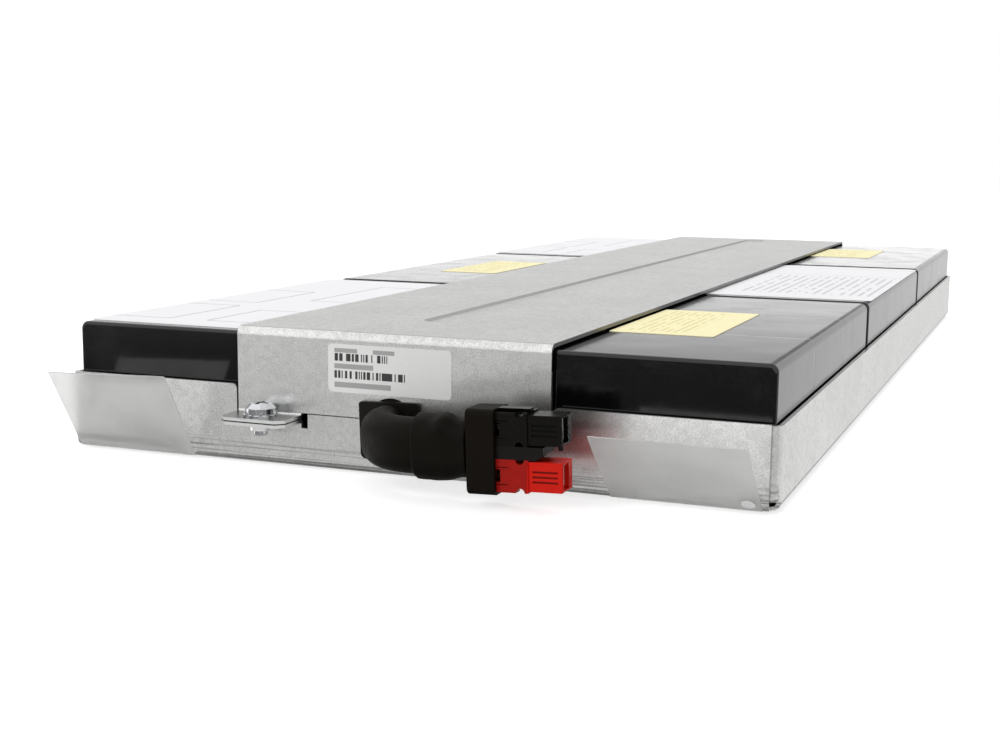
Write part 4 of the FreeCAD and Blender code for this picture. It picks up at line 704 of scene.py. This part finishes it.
def frontPrint(tree, u, v):
    left, stripe = frontLabel["left"], frontLabel["stripe"]
    inTop = rectangle(tree, u, v, (left, 4.1), (1.6, 5.2))
    broken = dashes(tree, u, v, pitch=9.0, word=1.5, inked=0.9, seed=0.0)
    top = together(tree, "MULTIPLY", [inTop, broken])
    inUpper = rectangle(tree, u, v, (left, 1.9), (-0.4, 3.9))
    upper = together(tree, "MULTIPLY", [inUpper, stripes(tree, u, stripe, seed=1.0)])
    inLower = rectangle(tree, u, v, (left, -2.6), (4.6, -0.6))
    lower = together(tree, "MULTIPLY", [inLower, stripes(tree, u, stripe, seed=5.0)])
    middle = rectangle(tree, u, v, (left, -0.1), (-4.4, 1.2))
    bottom = rectangle(tree, u, v, (left, -5.0), (0.6, -3.6))
    bars = together(tree, "MAXIMUM", [top, middle, bottom])
    pale = together(tree, "MULTIPLY", [bars, labels["strength"]["frontPale"]])
    inked = together(tree, "MAXIMUM", [upper, lower, pale])
    return together(tree, "MULTIPLY", [inked, labels["strength"]["front"]])


frontCentre = Vector((frontLabel["across"], frontWall, frontLabel["height"])) * mm
layLabel("front_label", frontCentre, frontLabel["size"], "front", frontLabel["corner"], labels["paper"],
         labels["ink"], frontPrint)


def yellowPrint(tree, u, v):
    # lines of print across, with a bare margin at one end
    area = rectangle(tree, u, v, (-11.5, -26), (6.5, 26))
    lines = dashes(tree, v, u, pitch=2.1, word=3.0, inked=0.4, seed=0.0)
    return together(tree, "MULTIPLY", [area, lines, labels["strength"]["yellow"]])


def diagramPrint(tree, u, v):
    # plain outlines of four boxes
    corners = [((-30, -60), (-8, -22)), ((-30, -12), (-8, 26)), ((4, -60), (28, -30)), ((4, 0), (28, 52))]
    boxes = together(tree, "MAXIMUM", [outline(tree, u, v, low, high) for low, high in corners])
    return together(tree, "MULTIPLY", [boxes, labels["strength"]["diagram"]])


def noticePrint(tree, u, v):
    # lines of print beside one empty box
    area = rectangle(tree, u, v, (-20, -56), (27, 20))
    lines = dashes(tree, v, u, pitch=3.1, word=4.5, inked=0.35, seed=3.0)
    pale = together(tree, "MULTIPLY", [area, lines, labels["strength"]["noticeLines"]])
    box = outline(tree, u, v, (-28, 26), (29, 62))
    inked = together(tree, "MAXIMUM", [pale, box])
    return together(tree, "MULTIPLY", [inked, labels["strength"]["notice"]])


yellowCorner = 0.8
yellowLabels = {  # places and sizes in millimetres
    "right_front": {"place": (58.5, -159.2), "size": (29.0, 60.5)},
    "right_rear": {"place": (56.8, 162.0), "size": (27.5, 57.0)},
    "left_middle": {"place": (-64.8, 0.5), "size": (23.5, 61.0)},
}
blockTop = firstHigh.z
for key, label in yellowLabels.items():
    centre = (label["place"][0] * mm, label["place"][1] * mm, blockTop)
    layLabel("yellow_label_" + key, centre, label["size"], "up", yellowCorner, labels["yellow"],
             labels["yellowInk"], yellowPrint)

# a white label covers its block's top from the outer edge to just under the cover
whiteShape = {"length": 143.0, "underCover": 2.0, "corner": 1.5}
whiteLabels = {
    "left_front": diagramPrint,
    "left_rear": diagramPrint,
    "right_middle": noticePrint,
}
coverLow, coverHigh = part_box("cover")
for key, printing in whiteLabels.items():
    low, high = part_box("case_" + key)
    outer, inner, side = (low.x, coverLow.x, 1) if "left" in key else (high.x, coverHigh.x, -1)
    inner += side * whiteShape["underCover"] * mm
    centre = ((outer + inner) / 2, (low.y + high.y) / 2, blockTop)
    size = (abs(outer - inner) / mm, whiteShape["length"])
    layLabel("white_label_" + key, centre, size, "up", whiteShape["corner"], labels["white"],
             labels["paleInk"], printing)
print("labels laid")
